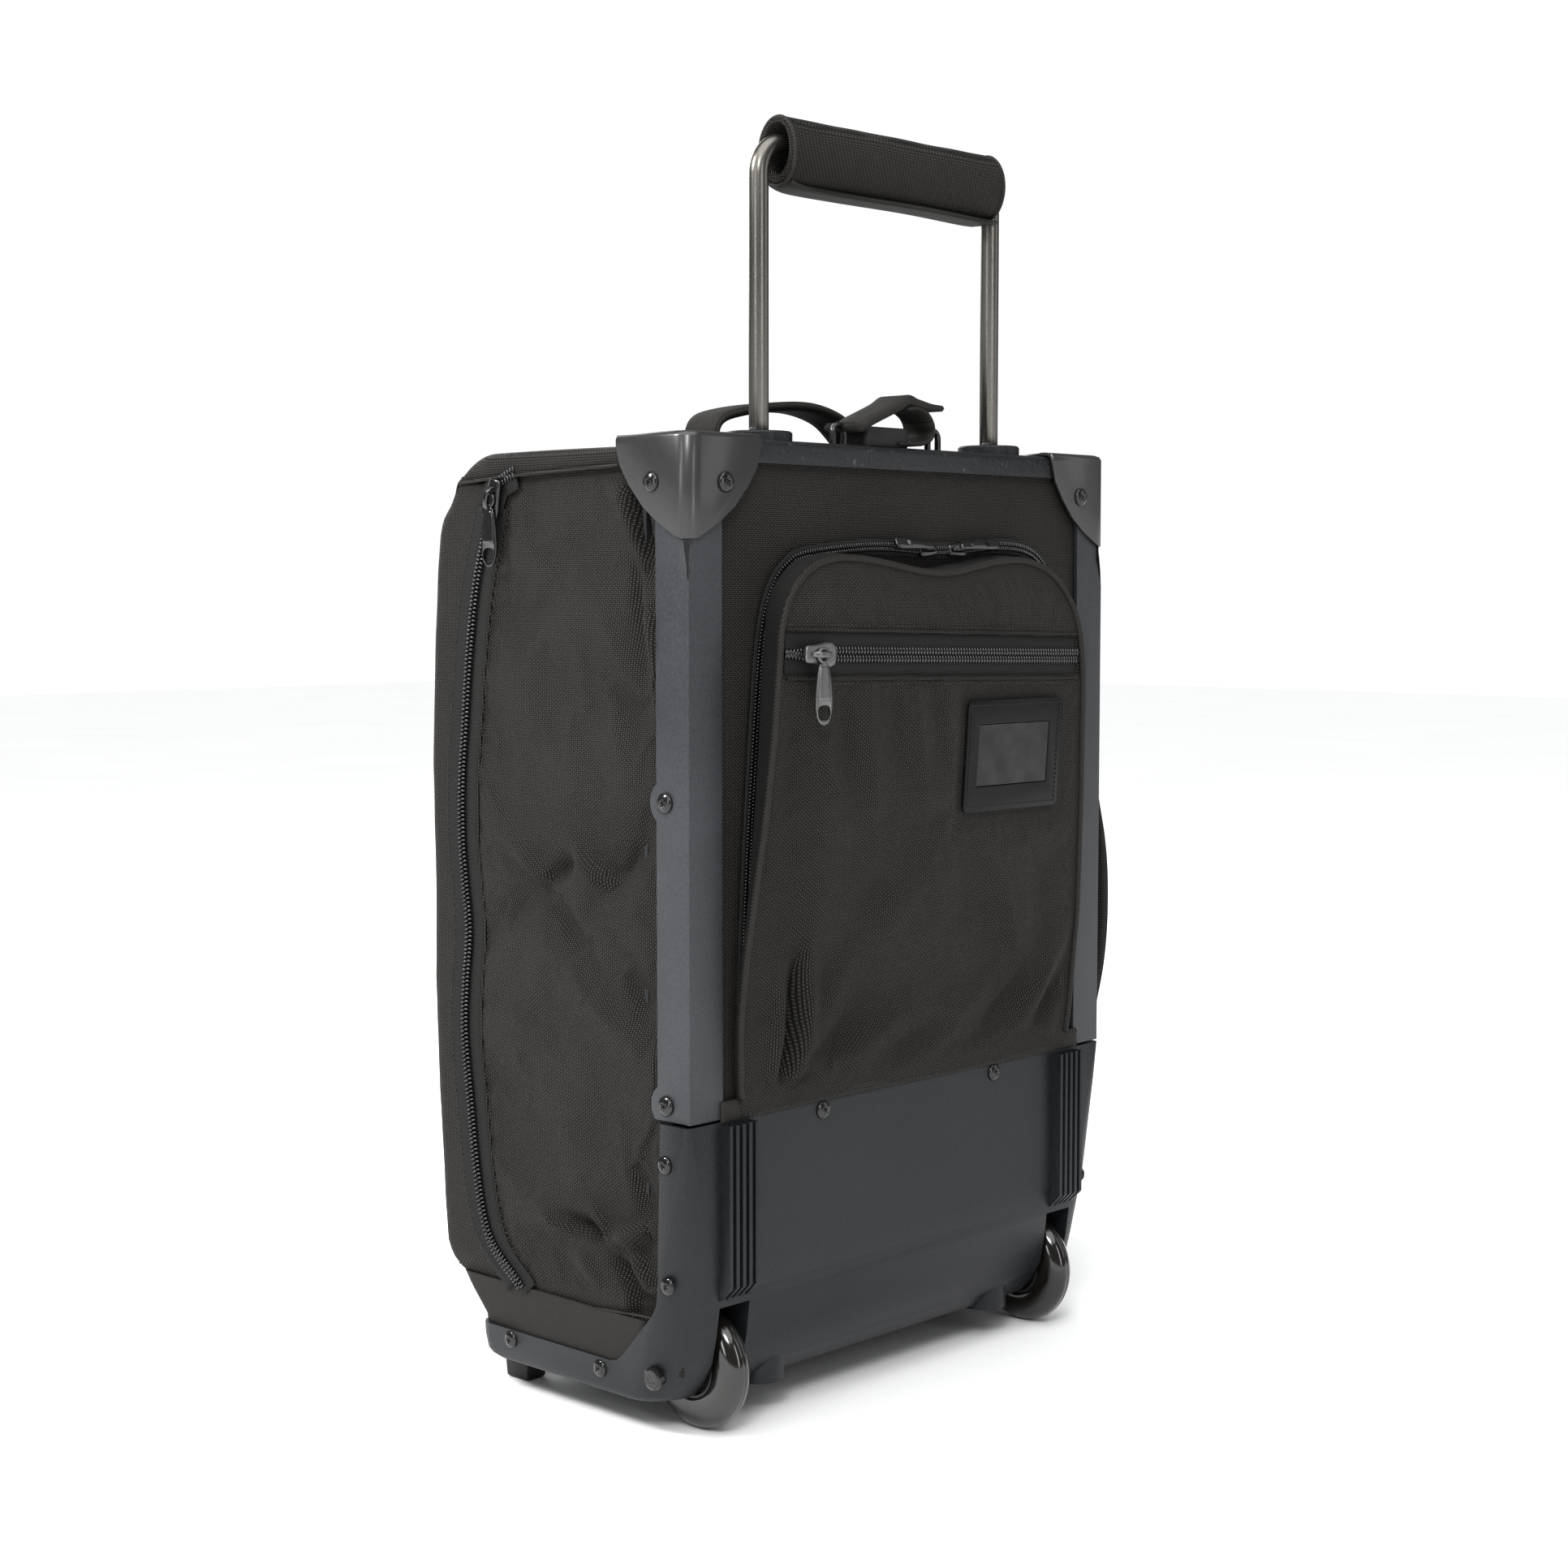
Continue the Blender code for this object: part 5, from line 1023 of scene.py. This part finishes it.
def pocket():
    rows, cols = 210, 190
    u = np.linspace(-1.0, 1.0, cols)
    v = np.linspace(0.0, 1.0, rows)
    uu, vv = np.meshgrid(u, v)
    side_z = 178.0 + vv * (438.0 - 178.0)
    x = uu * table(POCKET_WIDTHS, side_z)
    z = 178.0 + vv * (pocket_height(uu) - 178.0)
    y = pocket_front_y(x, z) + 0.30 * cloth_noise(x, z, 30.0, 21.0, 1.5) * (1.0 - frame_area(x, z))
    y = y - 0.5 * frame_area(x, z)
    grid = np.stack([x, y, z], axis=2)
    front = sheet_piece("pocket_front", grid, fabric_back, "case", (0, -60, 340), 0.0)
    gap = np.abs(z - chain_z(x))
    edge = (np.abs(uu) > 0.955) | (vv < 0.03) | (vv > 0.965) | (gap < 15.0)
    held = (x > -120.0) & (x < -18.0) & (z > 326.0) & (z < 404.0)
    cloth_settle(front, (edge | held).astype(float).ravel(), slack=0.010, cap=1.8, pressure=0.4)
    thicken(front, 0.9)
    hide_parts("back_pocket")

    edge_path = [grid[i, 0] for i in range(8, rows)] + [grid[-1, j] for j in range(1, cols)]
    edge_path += [grid[i, -1] for i in range(rows - 2, 7, -1)]
    edge_path = resample(np.array(edge_path), 2.5)
    smooth = edge_path.copy()
    for _ in range(6):
        smooth[1:-1] = (smooth[:-2] + 2.0 * smooth[1:-1] + smooth[2:]) / 4.0
    piping_path = smooth + np.array((0.0, 0.3, 0.0))
    swept("pocket_piping", piping_path, circle(2.0, 12), (0, 1, 0), piping, "case")

    centre = np.array((0.0, 0.0, 340.0))
    depth = 7
    gusset = np.empty((len(smooth), depth, 3))
    for index, point in enumerate(smooth):
        rise = float(smoothstep(430.0, 470.0, point[2]))
        inward = 8.0 * (1.0 - rise) * smoothstep(186.0, 300.0, point[2])
        foot = np.array((point[0] - math.copysign(float(inward), point[0]) * (1.0 if abs(point[0]) > 60 else 0.0), -1.6,
                         point[2] + 3.0 * rise))
        for step in range(depth):
            t = step / (depth - 1)
            puff = 1.1 * math.sin(math.pi * t)
            outward_dir = (point - centre) / np.linalg.norm(point - centre)
            gusset[index, step] = point * (1 - t) + foot * t + outward_dir * np.array((1, 0, 1)) * puff
    wall = piece("pocket_gusset", gusset, grid_faces(*gusset.shape[:2]), tape, "case")
    outward(wall, (0, 5, 340))

    teeth = [(140, 200), (140.5, 235), (137.5, 300), (133, 362), (127.5, 423), (123, 450), (116, 466), (106, 475.5),
             (95, 480), (60, 484), (30, 485.5), (-10, 484), (-36, 484.5), (-70, 487), (-95, 486), (-112, 480),
             (-121, 468), (-127, 446), (-130, 423), (-134, 362), (-138, 300), (-141, 235), (-140, 200)]
    line = curve_points([(x, 1.6 + 1.6 * float(smoothstep(430, 480, z)), z) for x, z in teeth], 1.0)
    zip_teeth("pocket_edge_teeth", line, (0, 1, 0), "case", pitch=1.9, tooth=2.6, height=0.95)
    tape_strip("pocket_edge_tape", line + np.array((0.0, -1.1, 0.0)), 9.0, 0.8, (0, 1, 0), "case")
    for name, x, aim in (("pocket_edge_slider_a", -8.0, 1.0), ("pocket_edge_slider_b", -34.0, -1.0)):
        z = 484.2
        small_slider(name, (x, 3.2, z), (aim, 0, 0.02), (0, 1, 0.25))
        lying_pull(name + "_pull", (x - aim * 1.0, 8.0, z + 2.2), (aim, 0.0, 0.05), (0, 0.85, 0.52))

    chain = [(x, float(pocket_front_y(np.array(x), np.array(chain_z(x)))) + 1.6, chain_z(x))
             for x in np.linspace(127.0, -129.0, 120)]
    chain = np.array(chain)
    zip_teeth("cross_zip_teeth", chain[9:], (0, 1, 0), "case", pitch=2.5, tooth=4.3, height=1.35)
    split = chain[:12]
    for sign in (1.0, -1.0):
        spread = split + np.array([(0.0, 0.0, sign * 2.2 * (1.0 - i / 11.0)) for i in range(12)])
        zip_teeth("cross_zip_open_" + ("top" if sign > 0 else "low"), spread, (0, 1, 0), "case",
                  side_sign=int(sign), pitch=2.5, tooth=4.3, height=1.35)
    tape_strip("cross_zip_tape", chain + np.array((0, -1.3, 0)), 25.0, 0.8, (0, 1, 0), "case")
    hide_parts("pocket_zip_chain")
    for offset, name in ((13.2, "upper"), (-13.2, "lower")):
        lip = np.array([(x, float(pocket_front_y(np.array(x), np.array(chain_z(x) + offset))) + 0.1,
                         chain_z(x) + offset) for x in np.linspace(127.5, -128.5, 90)])
        swept("cross_zip_lip_" + name, lip, circle(0.95, 8), (0, 1, 0), fabric_back, "case")
        stitches("cross_zip_stitch_" + name, lip[::6] + np.array((0, 0.5, math.copysign(2.6, offset))), (0, 1, 0),
                 "case")
    slider("cross_slider", (CROSS_SLIDER_X, 24.4, chain_z(CROSS_SLIDER_X)), (-1.0, 0, -0.0226), (0, 1, 0),
           "pocket_slider", ["pocket_zip_slider"], pull_metal)
    pull("cross_pull", (CROSS_SLIDER_X, 28.6, chain_z(CROSS_SLIDER_X)), (0, 0, -1), (0, 1, 0), "pocket_pull",
         ["pocket_zip_pull"], pull_metal)


def small_slider(name, at, along, up):
    """Narrow slider of the pocket's edge zip."""
    at = np.array(at, float)
    along = unit(along)
    up = unit(up)
    spots = [at + along * t for t in (-7.0, -6.2, -2.0, 2.0, 5.6, 7.0)]
    widths = (3.0, 3.8, 4.2, 4.8, 5.0, 4.2)
    swept(name, spots, [flat_section(2.0 * w, 3.6, 0.25) for w in widths], up, zip_gloss, "case")
    arch = [at + along * t + up * h for t, h in ((-4.6, 1.8), (-3.4, 4.2), (0.0, 5.0), (3.2, 4.2), (4.4, 1.8))]
    swept(name + "_arch", curve_points(arch, 0.8), flat_section(2.8, 1.4, 0.2), up, zip_gloss, "case")


def lying_pull(name, at, along, up, length=34.0):
    """Pull that lies flat along its zip."""
    at = np.array(at, float)
    along = unit(along)
    up = unit(up)
    spots = [at + along * t for t in (0.0, 2.0, 8.0, 16.0, 26.0, 31.0, length - 1.0, length)]
    widths = (1.6, 2.1, 2.4, 2.8, 3.5, 3.6, 3.1, 1.8)
    swept(name, spots, [flat_section(2.0 * w, 1.8, 0.25) for w in widths], up, zip_gloss, "case")
    swept(name + "_panel", [at + along * t + up * 0.8 for t in (9.0, 10.0, 20.0, 24.0)],
          [flat_section(w, 0.8, 0.2) for w in (2.0, 2.8, 3.6, 3.9)], up, zip_gloss, "case")


def id_holder():
    edge_copy("id_frame", vinyl, "case", 0.5, 3)
    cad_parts["id_window"].data.materials[0] = film
    low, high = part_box("id_frame")
    shift = np.array(ORIGIN) / MM
    x0, x1 = low.x / MM - shift[0], high.x / MM - shift[0]
    z0, z1 = low.z / MM, high.z / MM

    def front(z):
        return float(np.interp(z, (332.0, 340.0, 380.0, 397.5), (15.2, 16.0, 19.0, 19.83))) + 2.3

    inset = 3.0
    loop = [(x0 + inset, z0 + inset), (x1 - inset, z0 + inset), (x1 - inset, z1 - inset), (x0 + inset, z1 - inset)]
    for index in range(4):
        a = loop[index]
        b = loop[(index + 1) % 4]
        line = [(a[0] + (b[0] - a[0]) * t, front(a[1] + (b[1] - a[1]) * t), a[1] + (b[1] - a[1]) * t)
                for t in (0.0, 0.25, 0.5, 0.75, 1.0)]
        stitches(f"id_stitch_{index}", line, (0, 1, 0), "case", pitch=2.7, length=1.8, radius=0.28)
    backing = np.array([[(x, front(z) - 2.7, z) for x in np.linspace(-100.5, -35.5, 12)]
                        for z in np.linspace(347.5, 383.0, 8)])
    sheet_piece("id_backing", backing, card, "case", (0, -60, 360), 0.0)


# ---------------------------------------------------------------- top, cover, sill and straps

def band_z(y):
    return np.interp(y, (-190.0, -135.0, -50.0), (522.0, 525.0, 528.0))


def top_fabric():
    profile = curve_points([(-52.6, 537.6), (-60, 538), (-110, 538.2), (-150, 538), (-163, 537.6), (-174, 535.2),
                            (-184, 530.4), (-191.5, 523), (-194.6, 514)], 1.6)
    rows = []
    for y, z in profile:
        low = min(float(band_z(y)), z - 1.0)
        radius = min(5.0, (z - low) * 0.8)
        wide = SKIN - 2.6 * float(smoothstep(-160.0, -186.0, y))
        section = [(-wide, low)]
        for step in range(9):
            angle = math.pi / 2.0 * step / 8
            section.append((-wide + radius - radius * math.cos(angle), z - radius + radius * math.sin(angle)))
        inner = np.linspace(-wide + radius + 3.0, wide - radius - 3.0, 90)
        for x in inner:
            dip = 0.9 * math.sin(math.pi * (x + wide) / (2.0 * wide))
            dip *= math.sin(math.pi * np.clip((y + 52) / -128, 0, 1))
            lump = 0.45 * noise.noise(Vector((x / 40.0, y / 30.0, 4.0)))
            section.append((x, z + (lump - 0.2) * (1.0 if y > -180 else 0.3) + dip * 0.6))
        for step in range(9):
            angle = math.pi / 2.0 * (1.0 - step / 8)
            section.append((wide - radius + radius * math.cos(angle), z - radius + radius * math.sin(angle)))
        section.append((wide, low))
        rows.append([(x, y, h) for x, h in section])
    grid = np.array(rows)
    top = sheet_piece("top_fabric", grid, fabric_top, "case", (0, -110, 480), 1.2)
    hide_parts("top_panel")
    for word, side in SIDES:
        seam = [(side * (SKIN + 0.1 - 2.4 * float(smoothstep(-160.0, -186.0, y))), y, float(band_z(y)))
                for y in np.linspace(-53.0, -190.0, 50)]
        swept("band_seam_" + word, seam, circle(1.0, 8), (side, 0, 0), piping, "case")
        stitches("band_stitch_" + word, [(x, y, z + 3.2) for x, y, z in seam[::6]], (side, 0, 0), "case")
    lip = [(x, -194.9, 513.6) for x in np.linspace(-SKIN + 6, SKIN - 6, 80)]
    swept("lip_seam", lip, circle(1.3, 8), (0, -1, 0), piping, "case")


def cover_section(z):
    """Half outline of the cover at a height, from the mid-plane round the corner to the side zip."""
    front = float(table(COVER_FRONT, z))
    end = min(abs(z - 64.0), abs(508.0 - z))
    pull_in = 5.0 * (1.0 - float(smoothstep(0.0, 14.0, end)))
    side = SKIN - pull_in * 0.6
    radius = 11.0
    zip_edge = float(zip_y(z)) - 3.6 if 64.0 < z < 509.0 else -150.0
    zip_edge = min(zip_edge, -150.0)
    points = []
    for x in np.linspace(0.0, side - radius, 44):
        belly = 1.6 * math.cos(math.pi / 2.0 * x / (side - radius))
        points.append((x, front - belly * float(smoothstep(64.0, 110.0, z) * smoothstep(508.0, 460.0, z))))
    for step in range(1, 10):
        angle = math.pi / 2.0 * step / 9
        points.append((side - radius + radius * math.sin(angle), front + radius - radius * math.cos(angle)))
    start = front + radius
    for t in np.linspace(0.0, 1.0, 14)[1:]:
        points.append((side, start + (zip_edge - start) * t))
    return points


def cover():
    zs = np.concatenate([[65.0, 66.0, 68.0, 71.0, 75.0], np.linspace(80.0, 498.0, 150), [501.0, 503.5, 505.5, 507.0,
                                                                                     508.0]])
    rows = []
    for z in zs:
        half = cover_section(z)
        right = [(-x, y) for x, y in half[:0:-1]]
        rows.append([(x, y, z) for x, y in right + half])
    grid = np.array(rows)
    x, y, z = grid[..., 0], grid[..., 1], grid[..., 2]
    rise = 5.2 + 8.2 * smoothstep(-201.0, -190.0, y)
    grid[..., 2] += smoothstep(470.0, 508.0, z) * rise - smoothstep(80.0, 65.0, z) * 0.8
    middle = smoothstep(66.0, 100.0, z) * smoothstep(507.0, 470.0, z)
    rumple = cloth_noise(x, z + y, 46.0, 31.0, 1.4) * 1.1 + cloth_noise(x, z + y, 17.0, 37.0, 1.8) * 0.25
    facing = smoothstep(SKIN - 1.0, SKIN - 14.0, np.abs(x))
    grid[..., 1] -= rumple * middle * facing
    side_ripple = cloth_noise(y, z, 30.0, 41.0, 1.2) * 0.5
    grid[..., 0] -= np.sign(x) * np.abs(side_ripple) * (1.0 - facing) * middle
    shell = sheet_piece("cover_shell", grid, fabric_cover, "front_cover", (0, -120, 290), 1.8)
    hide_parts("front_panel", "front_flange_left", "front_flange_right")
    for name, z_edge, shift, span in (("top", 508.0, 5.0, 176.0), ("foot", 66.0, -0.6, 175.0)):
        line = [(x, float(table(COVER_FRONT, z_edge)) - 0.4, z_edge + shift)
                for x in np.linspace(-span + 10, span - 10, 60)]
        swept("cover_edge_" + name, line, circle(1.4, 8), (0, -1, 0), piping, "front_cover")
    inside = np.array([[(x, -197.0 - 0.6 * math.sin(x / 17.0) * math.sin(z / 21.0), z)
                        for x in np.linspace(-176.5, 176.5, 60)] for z in np.linspace(66.5, 506.0, 70)])
    sheet_piece("cover_lining", inside, lining, "front_cover", (0, -260, 290), 0.6)
    raised_pocket("cover_pocket_low", 92.0, 292.0, 150.0, 5.0, "front_cover")
    raised_pocket("cover_pocket_high", 312.0, 478.0, 150.0, 4.0, "front_cover")


def cover_face(x, z):
    front = table(COVER_FRONT, z)
    belly = 1.6 * np.cos(math.pi / 2.0 * np.clip(np.abs(x) / 168.4, 0, 1))
    belly = belly * smoothstep(64.0, 110.0, z) * smoothstep(508.0, 460.0, z)
    rumple = cloth_noise(x, z + front, 46.0, 31.0, 1.4) * 1.1
    return front - belly - rumple


def raised_pocket(name, low, high, half, depth, body):
    """A full-width pocket on the cover's front, with piping and a zip under its top edge."""
    rows, cols = 70, 90
    v = np.linspace(-1.0, 1.0, rows)
    u = np.linspace(-1.0, 1.0, cols)
    uu, vv = np.meshgrid(u, v)
    mid, reach = (low + high) / 2.0, (high - low) / 2.0
    round_off = 16.0
    beyond = np.abs(vv) * reach - (reach - round_off)
    bend = round_off - np.sqrt(np.clip(round_off ** 2 - beyond ** 2, 0.0, None))
    limit = half - np.where(np.abs(vv) * reach > reach - round_off, bend, 0.0)
    x = uu * limit
    z = mid + vv * reach
    swell = (1.0 - np.abs(uu) ** 5) * (1.0 - np.abs(vv) ** 5)
    wrinkle = cloth_noise(x, z, 24.0, 51.0 + low, 1.5) * 0.8 + cloth_noise(x, z, 60.0, 57.0 + low) * 1.0
    y = cover_face(x, z) - 0.6 - (depth * 0.55 + wrinkle * 0.8) * swell
    y = y - depth * 0.25 * smoothstep(1.0, 0.9, np.abs(uu))
    grid = np.stack([x, y, z], axis=2)
    sheet_piece(name, grid, fabric_back, body, (0, -120, mid), 0.9)
    rim = [grid[0, j] for j in range(cols)] + [grid[i, -1] for i in range(1, rows)]
    rim += [grid[-1, j] for j in range(cols - 2, -1, -1)] + [grid[i, 0] for i in range(rows - 2, 0, -1)]
    swept(name + "_piping", resample(np.array(rim + rim[:1]), 3.0)[:-1] + np.array((0, -0.6, 0)), circle(1.5, 8),
          (0, -1, 0), piping, body, closed=True)
    zip_height = high - 20.0
    zip_row = grid[int(rows * 0.86)]
    line = np.array([(x, float(np.interp(x, zip_row[:, 0], zip_row[:, 1])) - 1.7, zip_height)
                     for x in np.linspace(-half + 16.0, half - 16.0, 80)])
    tape_strip(name + "_tape", line + np.array((0, 0.9, 0)), 22.0, 0.9, (0, -1, 0), body)
    zip_teeth(name + "_teeth", line, (0, -1, 0), body, pitch=2.5, tooth=3.4, height=1.1)


def sill():
    rows = []
    for z, front, half in ((36.0, -176.0, 176.0), (38.5, -176.8, 176.4), (42.0, -179.0, 176.6), (48.0, -184.2, 177.0),
                           (54.0, -189.4, 177.4), (59.0, -193.2, 177.7), (63.0, -195.4, 178.2), (64.4, -195.9, 178.6)):
        radius = 10.0
        half_outline = [(x, front - 0.4 * math.sin(x / 14.0)) for x in np.linspace(0.0, half - radius, 30)]
        for step in range(1, 9):
            angle = math.pi / 2.0 * step / 8
            half_outline.append((half - radius + radius * math.sin(angle), front + radius - radius * math.cos(angle)))
        start = front + radius
        run = np.linspace(start + 3.0, -38.0, 30)
        half_outline += [(half + (PANEL + 1.1 - half) * float(smoothstep(start, -130.0, y)), y) for y in run]
        right = [(-x, y) for x, y in half_outline[:0:-1]]
        rows.append([(x, y, z) for x, y in right + half_outline])
    band = sheet_piece("sill_fabric", np.array(rows), sill_twill, "case", (0, -100, 52), 1.0)
    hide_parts("front_sill")


def straps():
    arch = [(62.0, 541.2), (66.0, 551.0), (61.0, 559.8), (45.0, 564.8), (15.0, 569.2), (-15.0, 570.2), (-40.0, 565.0),
            (-55.0, 555.6), (-62.0, 548.0), (-61.0, 541.2)]
    path = curve_points([(x, TOP_STRAP_Y, z) for x, z in arch], 2.0)
    lift = np.cross(np.gradient(path, axis=0), (0.0, 1.0, 0.0))
    main = swept("top_handle_strap", path, flat_section(28.0, 5.4, 0.15), -lift, webbing, "case")
    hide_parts("top_handle")
    for index, (x, aim) in enumerate(((62.0, 1.0), (-61.0, -1.0))):
        foot = [(x + aim * run, TOP_STRAP_Y, z)
                for run, z in ((-1.5, 543.5), (2.0, 540.6), (10.0, 540.2), (27.0, 540.0))]
        swept(f"top_handle_foot_{index}", curve_points(foot, 2.0), flat_section(28.0, 3.0, 0.2), (0, 0, 1), webbing,
              "case")
        box = [(x + aim * 8.0, -115.0), (x + aim * 23.0, -115.0), (x + aim * 23.0, -95.0), (x + aim * 8.0, -95.0)]
        for k in range(4):
            a, b = box[k], box[(k + 1) % 4]
            line = [(a[0], a[1], 541.7), ((a[0] + b[0]) / 2, (a[1] + b[1]) / 2, 541.7), (b[0], b[1], 541.7)]
            stitches(f"top_handle_stitch_{index}_{k}", line, (0, 0, 1), "case", 2.8, 2.0)

    edge = -180.0 - 2.4
    side_path = [(edge, 360.0), (edge, 344.0), (-186.4, 328.0), (-193.0, 306.0), (-197.0, 285.0), (-198.2, 264.0),
                 (-197.0, 244.0), (-193.0, 223.0), (-186.4, 203.0), (edge, 192.0), (edge, 179.5)]
    path = curve_points([(x, -18.0, z) for x, z in side_path], 2.5)
    middle = np.exp(-((path[:, 2] - 264.0) / 46.0) ** 2)
    sections = [flat_section(27.0 - 3.0 * m, 3.6 + 1.6 * m, 0.12) for m in middle]
    side_strap = swept("side_handle_strap", path, sections, (-1, 0, 0), webbing_z, "case")
    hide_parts("side_handle")

    loop = [(-4.0, 564.6), (-14.0, 565.6), (-23.0, 562.0), (-27.4, 555.4), (-25.6, 548.6), (-17.0, 545.3),
            (-6.0, 544.6), (2.0, 544.4)]
    path = curve_points([(x, CARRY_STRAP_Y, z) for x, z in loop], 1.2)
    lift = np.cross(np.gradient(path, axis=0), (0.0, 1.0, 0.0))
    ribbed_loop = swept("carry_loop", path, flat_section(24.0, 2.2, 0.2), -lift, webbing_x, "case")
    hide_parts("carry_strap")
    upper = [(41.0, 553.0), (34.0, 552.5), (26.0, 556.5), (12.0, 562.0), (2.0, 566.0), (-6.0, 569.6), (-14.0, 568.2),
             (-24.0, 567.0), (-35.0, 566.4)]
    path = curve_points([(x, CARRY_STRAP_Y, z) for x, z in upper], 1.2)
    sections = []
    for x in path[:, 0]:
        thick = 5.0 + 1.6 * math.exp(-((x + 6.0) / 7.0) ** 2) - 1.6 * float(smoothstep(-16, -28, x))
        sections.append(flat_section(25.0, thick, 0.2))
    swept("carry_tail", path, sections, (0, 0, 1), webbing_x, "case")
    for word, x in (("left", 42.5), ("right", -39.5)):
        staple = [(x + 4.6, CARRY_STRAP_Y, 541.5), (x + 4.6, CARRY_STRAP_Y, 549.0)]
        for step in range(9):
            angle = math.pi * step / 8
            staple.append((x + 4.6 * math.cos(angle), CARRY_STRAP_Y, 549.4 + 4.6 * math.sin(angle)))
        staple += [(x - 4.6, CARRY_STRAP_Y, 549.0), (x - 4.6, CARRY_STRAP_Y, 541.5)]
        ring = swept("staple_" + word, curve_points(staple, 0.8), circle(1.9, 12), (0, 1, 0), black_steel, "case")
        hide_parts("strap_loop_" + word)


def interior():
    for node in ("inner_back_panel", "floor_board"):
        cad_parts[node].data.materials[0] = lining


# ---------------------------------------------------------------- stage

def stage():
    floor_mesh = bpy.data.meshes.new("floor")
    size = 9.0
    floor_mesh.from_pydata([(-size, -size, 0), (size, -size, 0), (size, size, 0), (-size, size, 0)], [], [(0, 1, 2, 3)])
    mat, tree, shader, coord = new_material("pale_floor")
    patch = noise_node(tree, coord, 3.0, 3.0)
    tint = ramp(tree, patch, "Fac", ((0.3, (0.95, 0.95, 0.95)), (0.7, (0.97, 0.97, 0.97))))
    link(tree, tint, "Color", shader, "Base Color")
    shader.inputs["Roughness"].default_value = 0.7
    floor_mesh.materials.append(mat)
    add_object("floor", floor_mesh)

    world = bpy.data.worlds.new("studio")
    bpy.context.scene.world = world
    world.use_nodes = True
    tree = world.node_tree
    room = tree.nodes["Background"]
    room.inputs["Color"].default_value = (0.96, 0.98, 1.0, 1.0)
    room.inputs["Strength"].default_value = 0.20
    paper = tree.nodes.new("ShaderNodeBackground")
    paper.inputs["Color"].default_value = (1.0, 1.0, 1.0, 1.0)
    paper.inputs["Strength"].default_value = 0.88
    seen = tree.nodes.new("ShaderNodeLightPath")
    either = tree.nodes.new("ShaderNodeMixShader")
    tree.links.new(seen.outputs["Is Camera Ray"], either.inputs["Fac"])
    tree.links.new(room.outputs["Background"], either.inputs[1])
    tree.links.new(paper.outputs["Background"], either.inputs[2])
    tree.links.new(either.outputs["Shader"], tree.nodes["World Output"].inputs["Surface"])
    view = bpy.context.scene.view_settings
    view.view_transform = "Standard"
    view.exposure = 0.24
    view.gamma = 0.86
    for name, place, size, power, aim in (
            ("key", (1.9, 1.5, 2.0), (0.6, 0.6), 24.0, (0.0, 0.0, 0.3)),
            ("side", (1.25, -0.7, 1.5), (0.4, 0.5), 22.0, (0.17, -0.05, 0.55)),
            ("strip_back", (0.42, 2.5, 0.9), (0.28, 1.6), 9.0, (0.0, 0.0, 0.45)),
            ("strip_side", (2.6, 0.30, 1.0), (0.28, 1.6), 10.0, (0.0, 0.0, 0.45)),
            ("fill", (-1.9, 1.8, 1.2), (1.0, 1.6), 6.0, (0.0, 0.0, 0.3)),
            ("front", (-0.8, -2.6, 1.5), (1.8, 1.4), 26.0, (0.0, 0.0, 0.3))):
        light = bpy.data.lights.new(name, "AREA")
        light.shape = "RECTANGLE"
        light.size, light.size_y = size
        light.energy = power
        obj = add_object(name, light)
        obj.location = place
        obj.rotation_euler = (Vector(aim) - Vector(place)).to_track_quat("-Z", "Y").to_euler()

    sky = bpy.data.lights.new("overhead", "SUN")
    sky.energy = 2.4
    sky.angle = math.radians(70.0)
    add_object("overhead", sky).rotation_euler = (math.radians(-12.0), math.radians(14.0), 0.0)

    lens = bpy.data.cameras.new("view")
    lens.lens = CAMERA_LENS
    lens.sensor_width = 36.0
    camera = add_object("view", lens)
    down = math.radians(CAMERA_DOWN)
    look = Vector((CAMERA_PLAN[0] * math.cos(down), CAMERA_PLAN[1] * math.cos(down), -math.sin(down)))
    camera.location = Vector(CAMERA_AT) * MM + ORIGIN
    camera.rotation_euler = look.to_track_quat("-Z", "Y").to_euler()
    bpy.context.scene.camera = camera


for build in (hard_parts, screws, wheels, handle, side_panels, side_zips, back_panel, pocket, id_holder, top_fabric,
              cover, sill, straps, interior, stage):
    build()
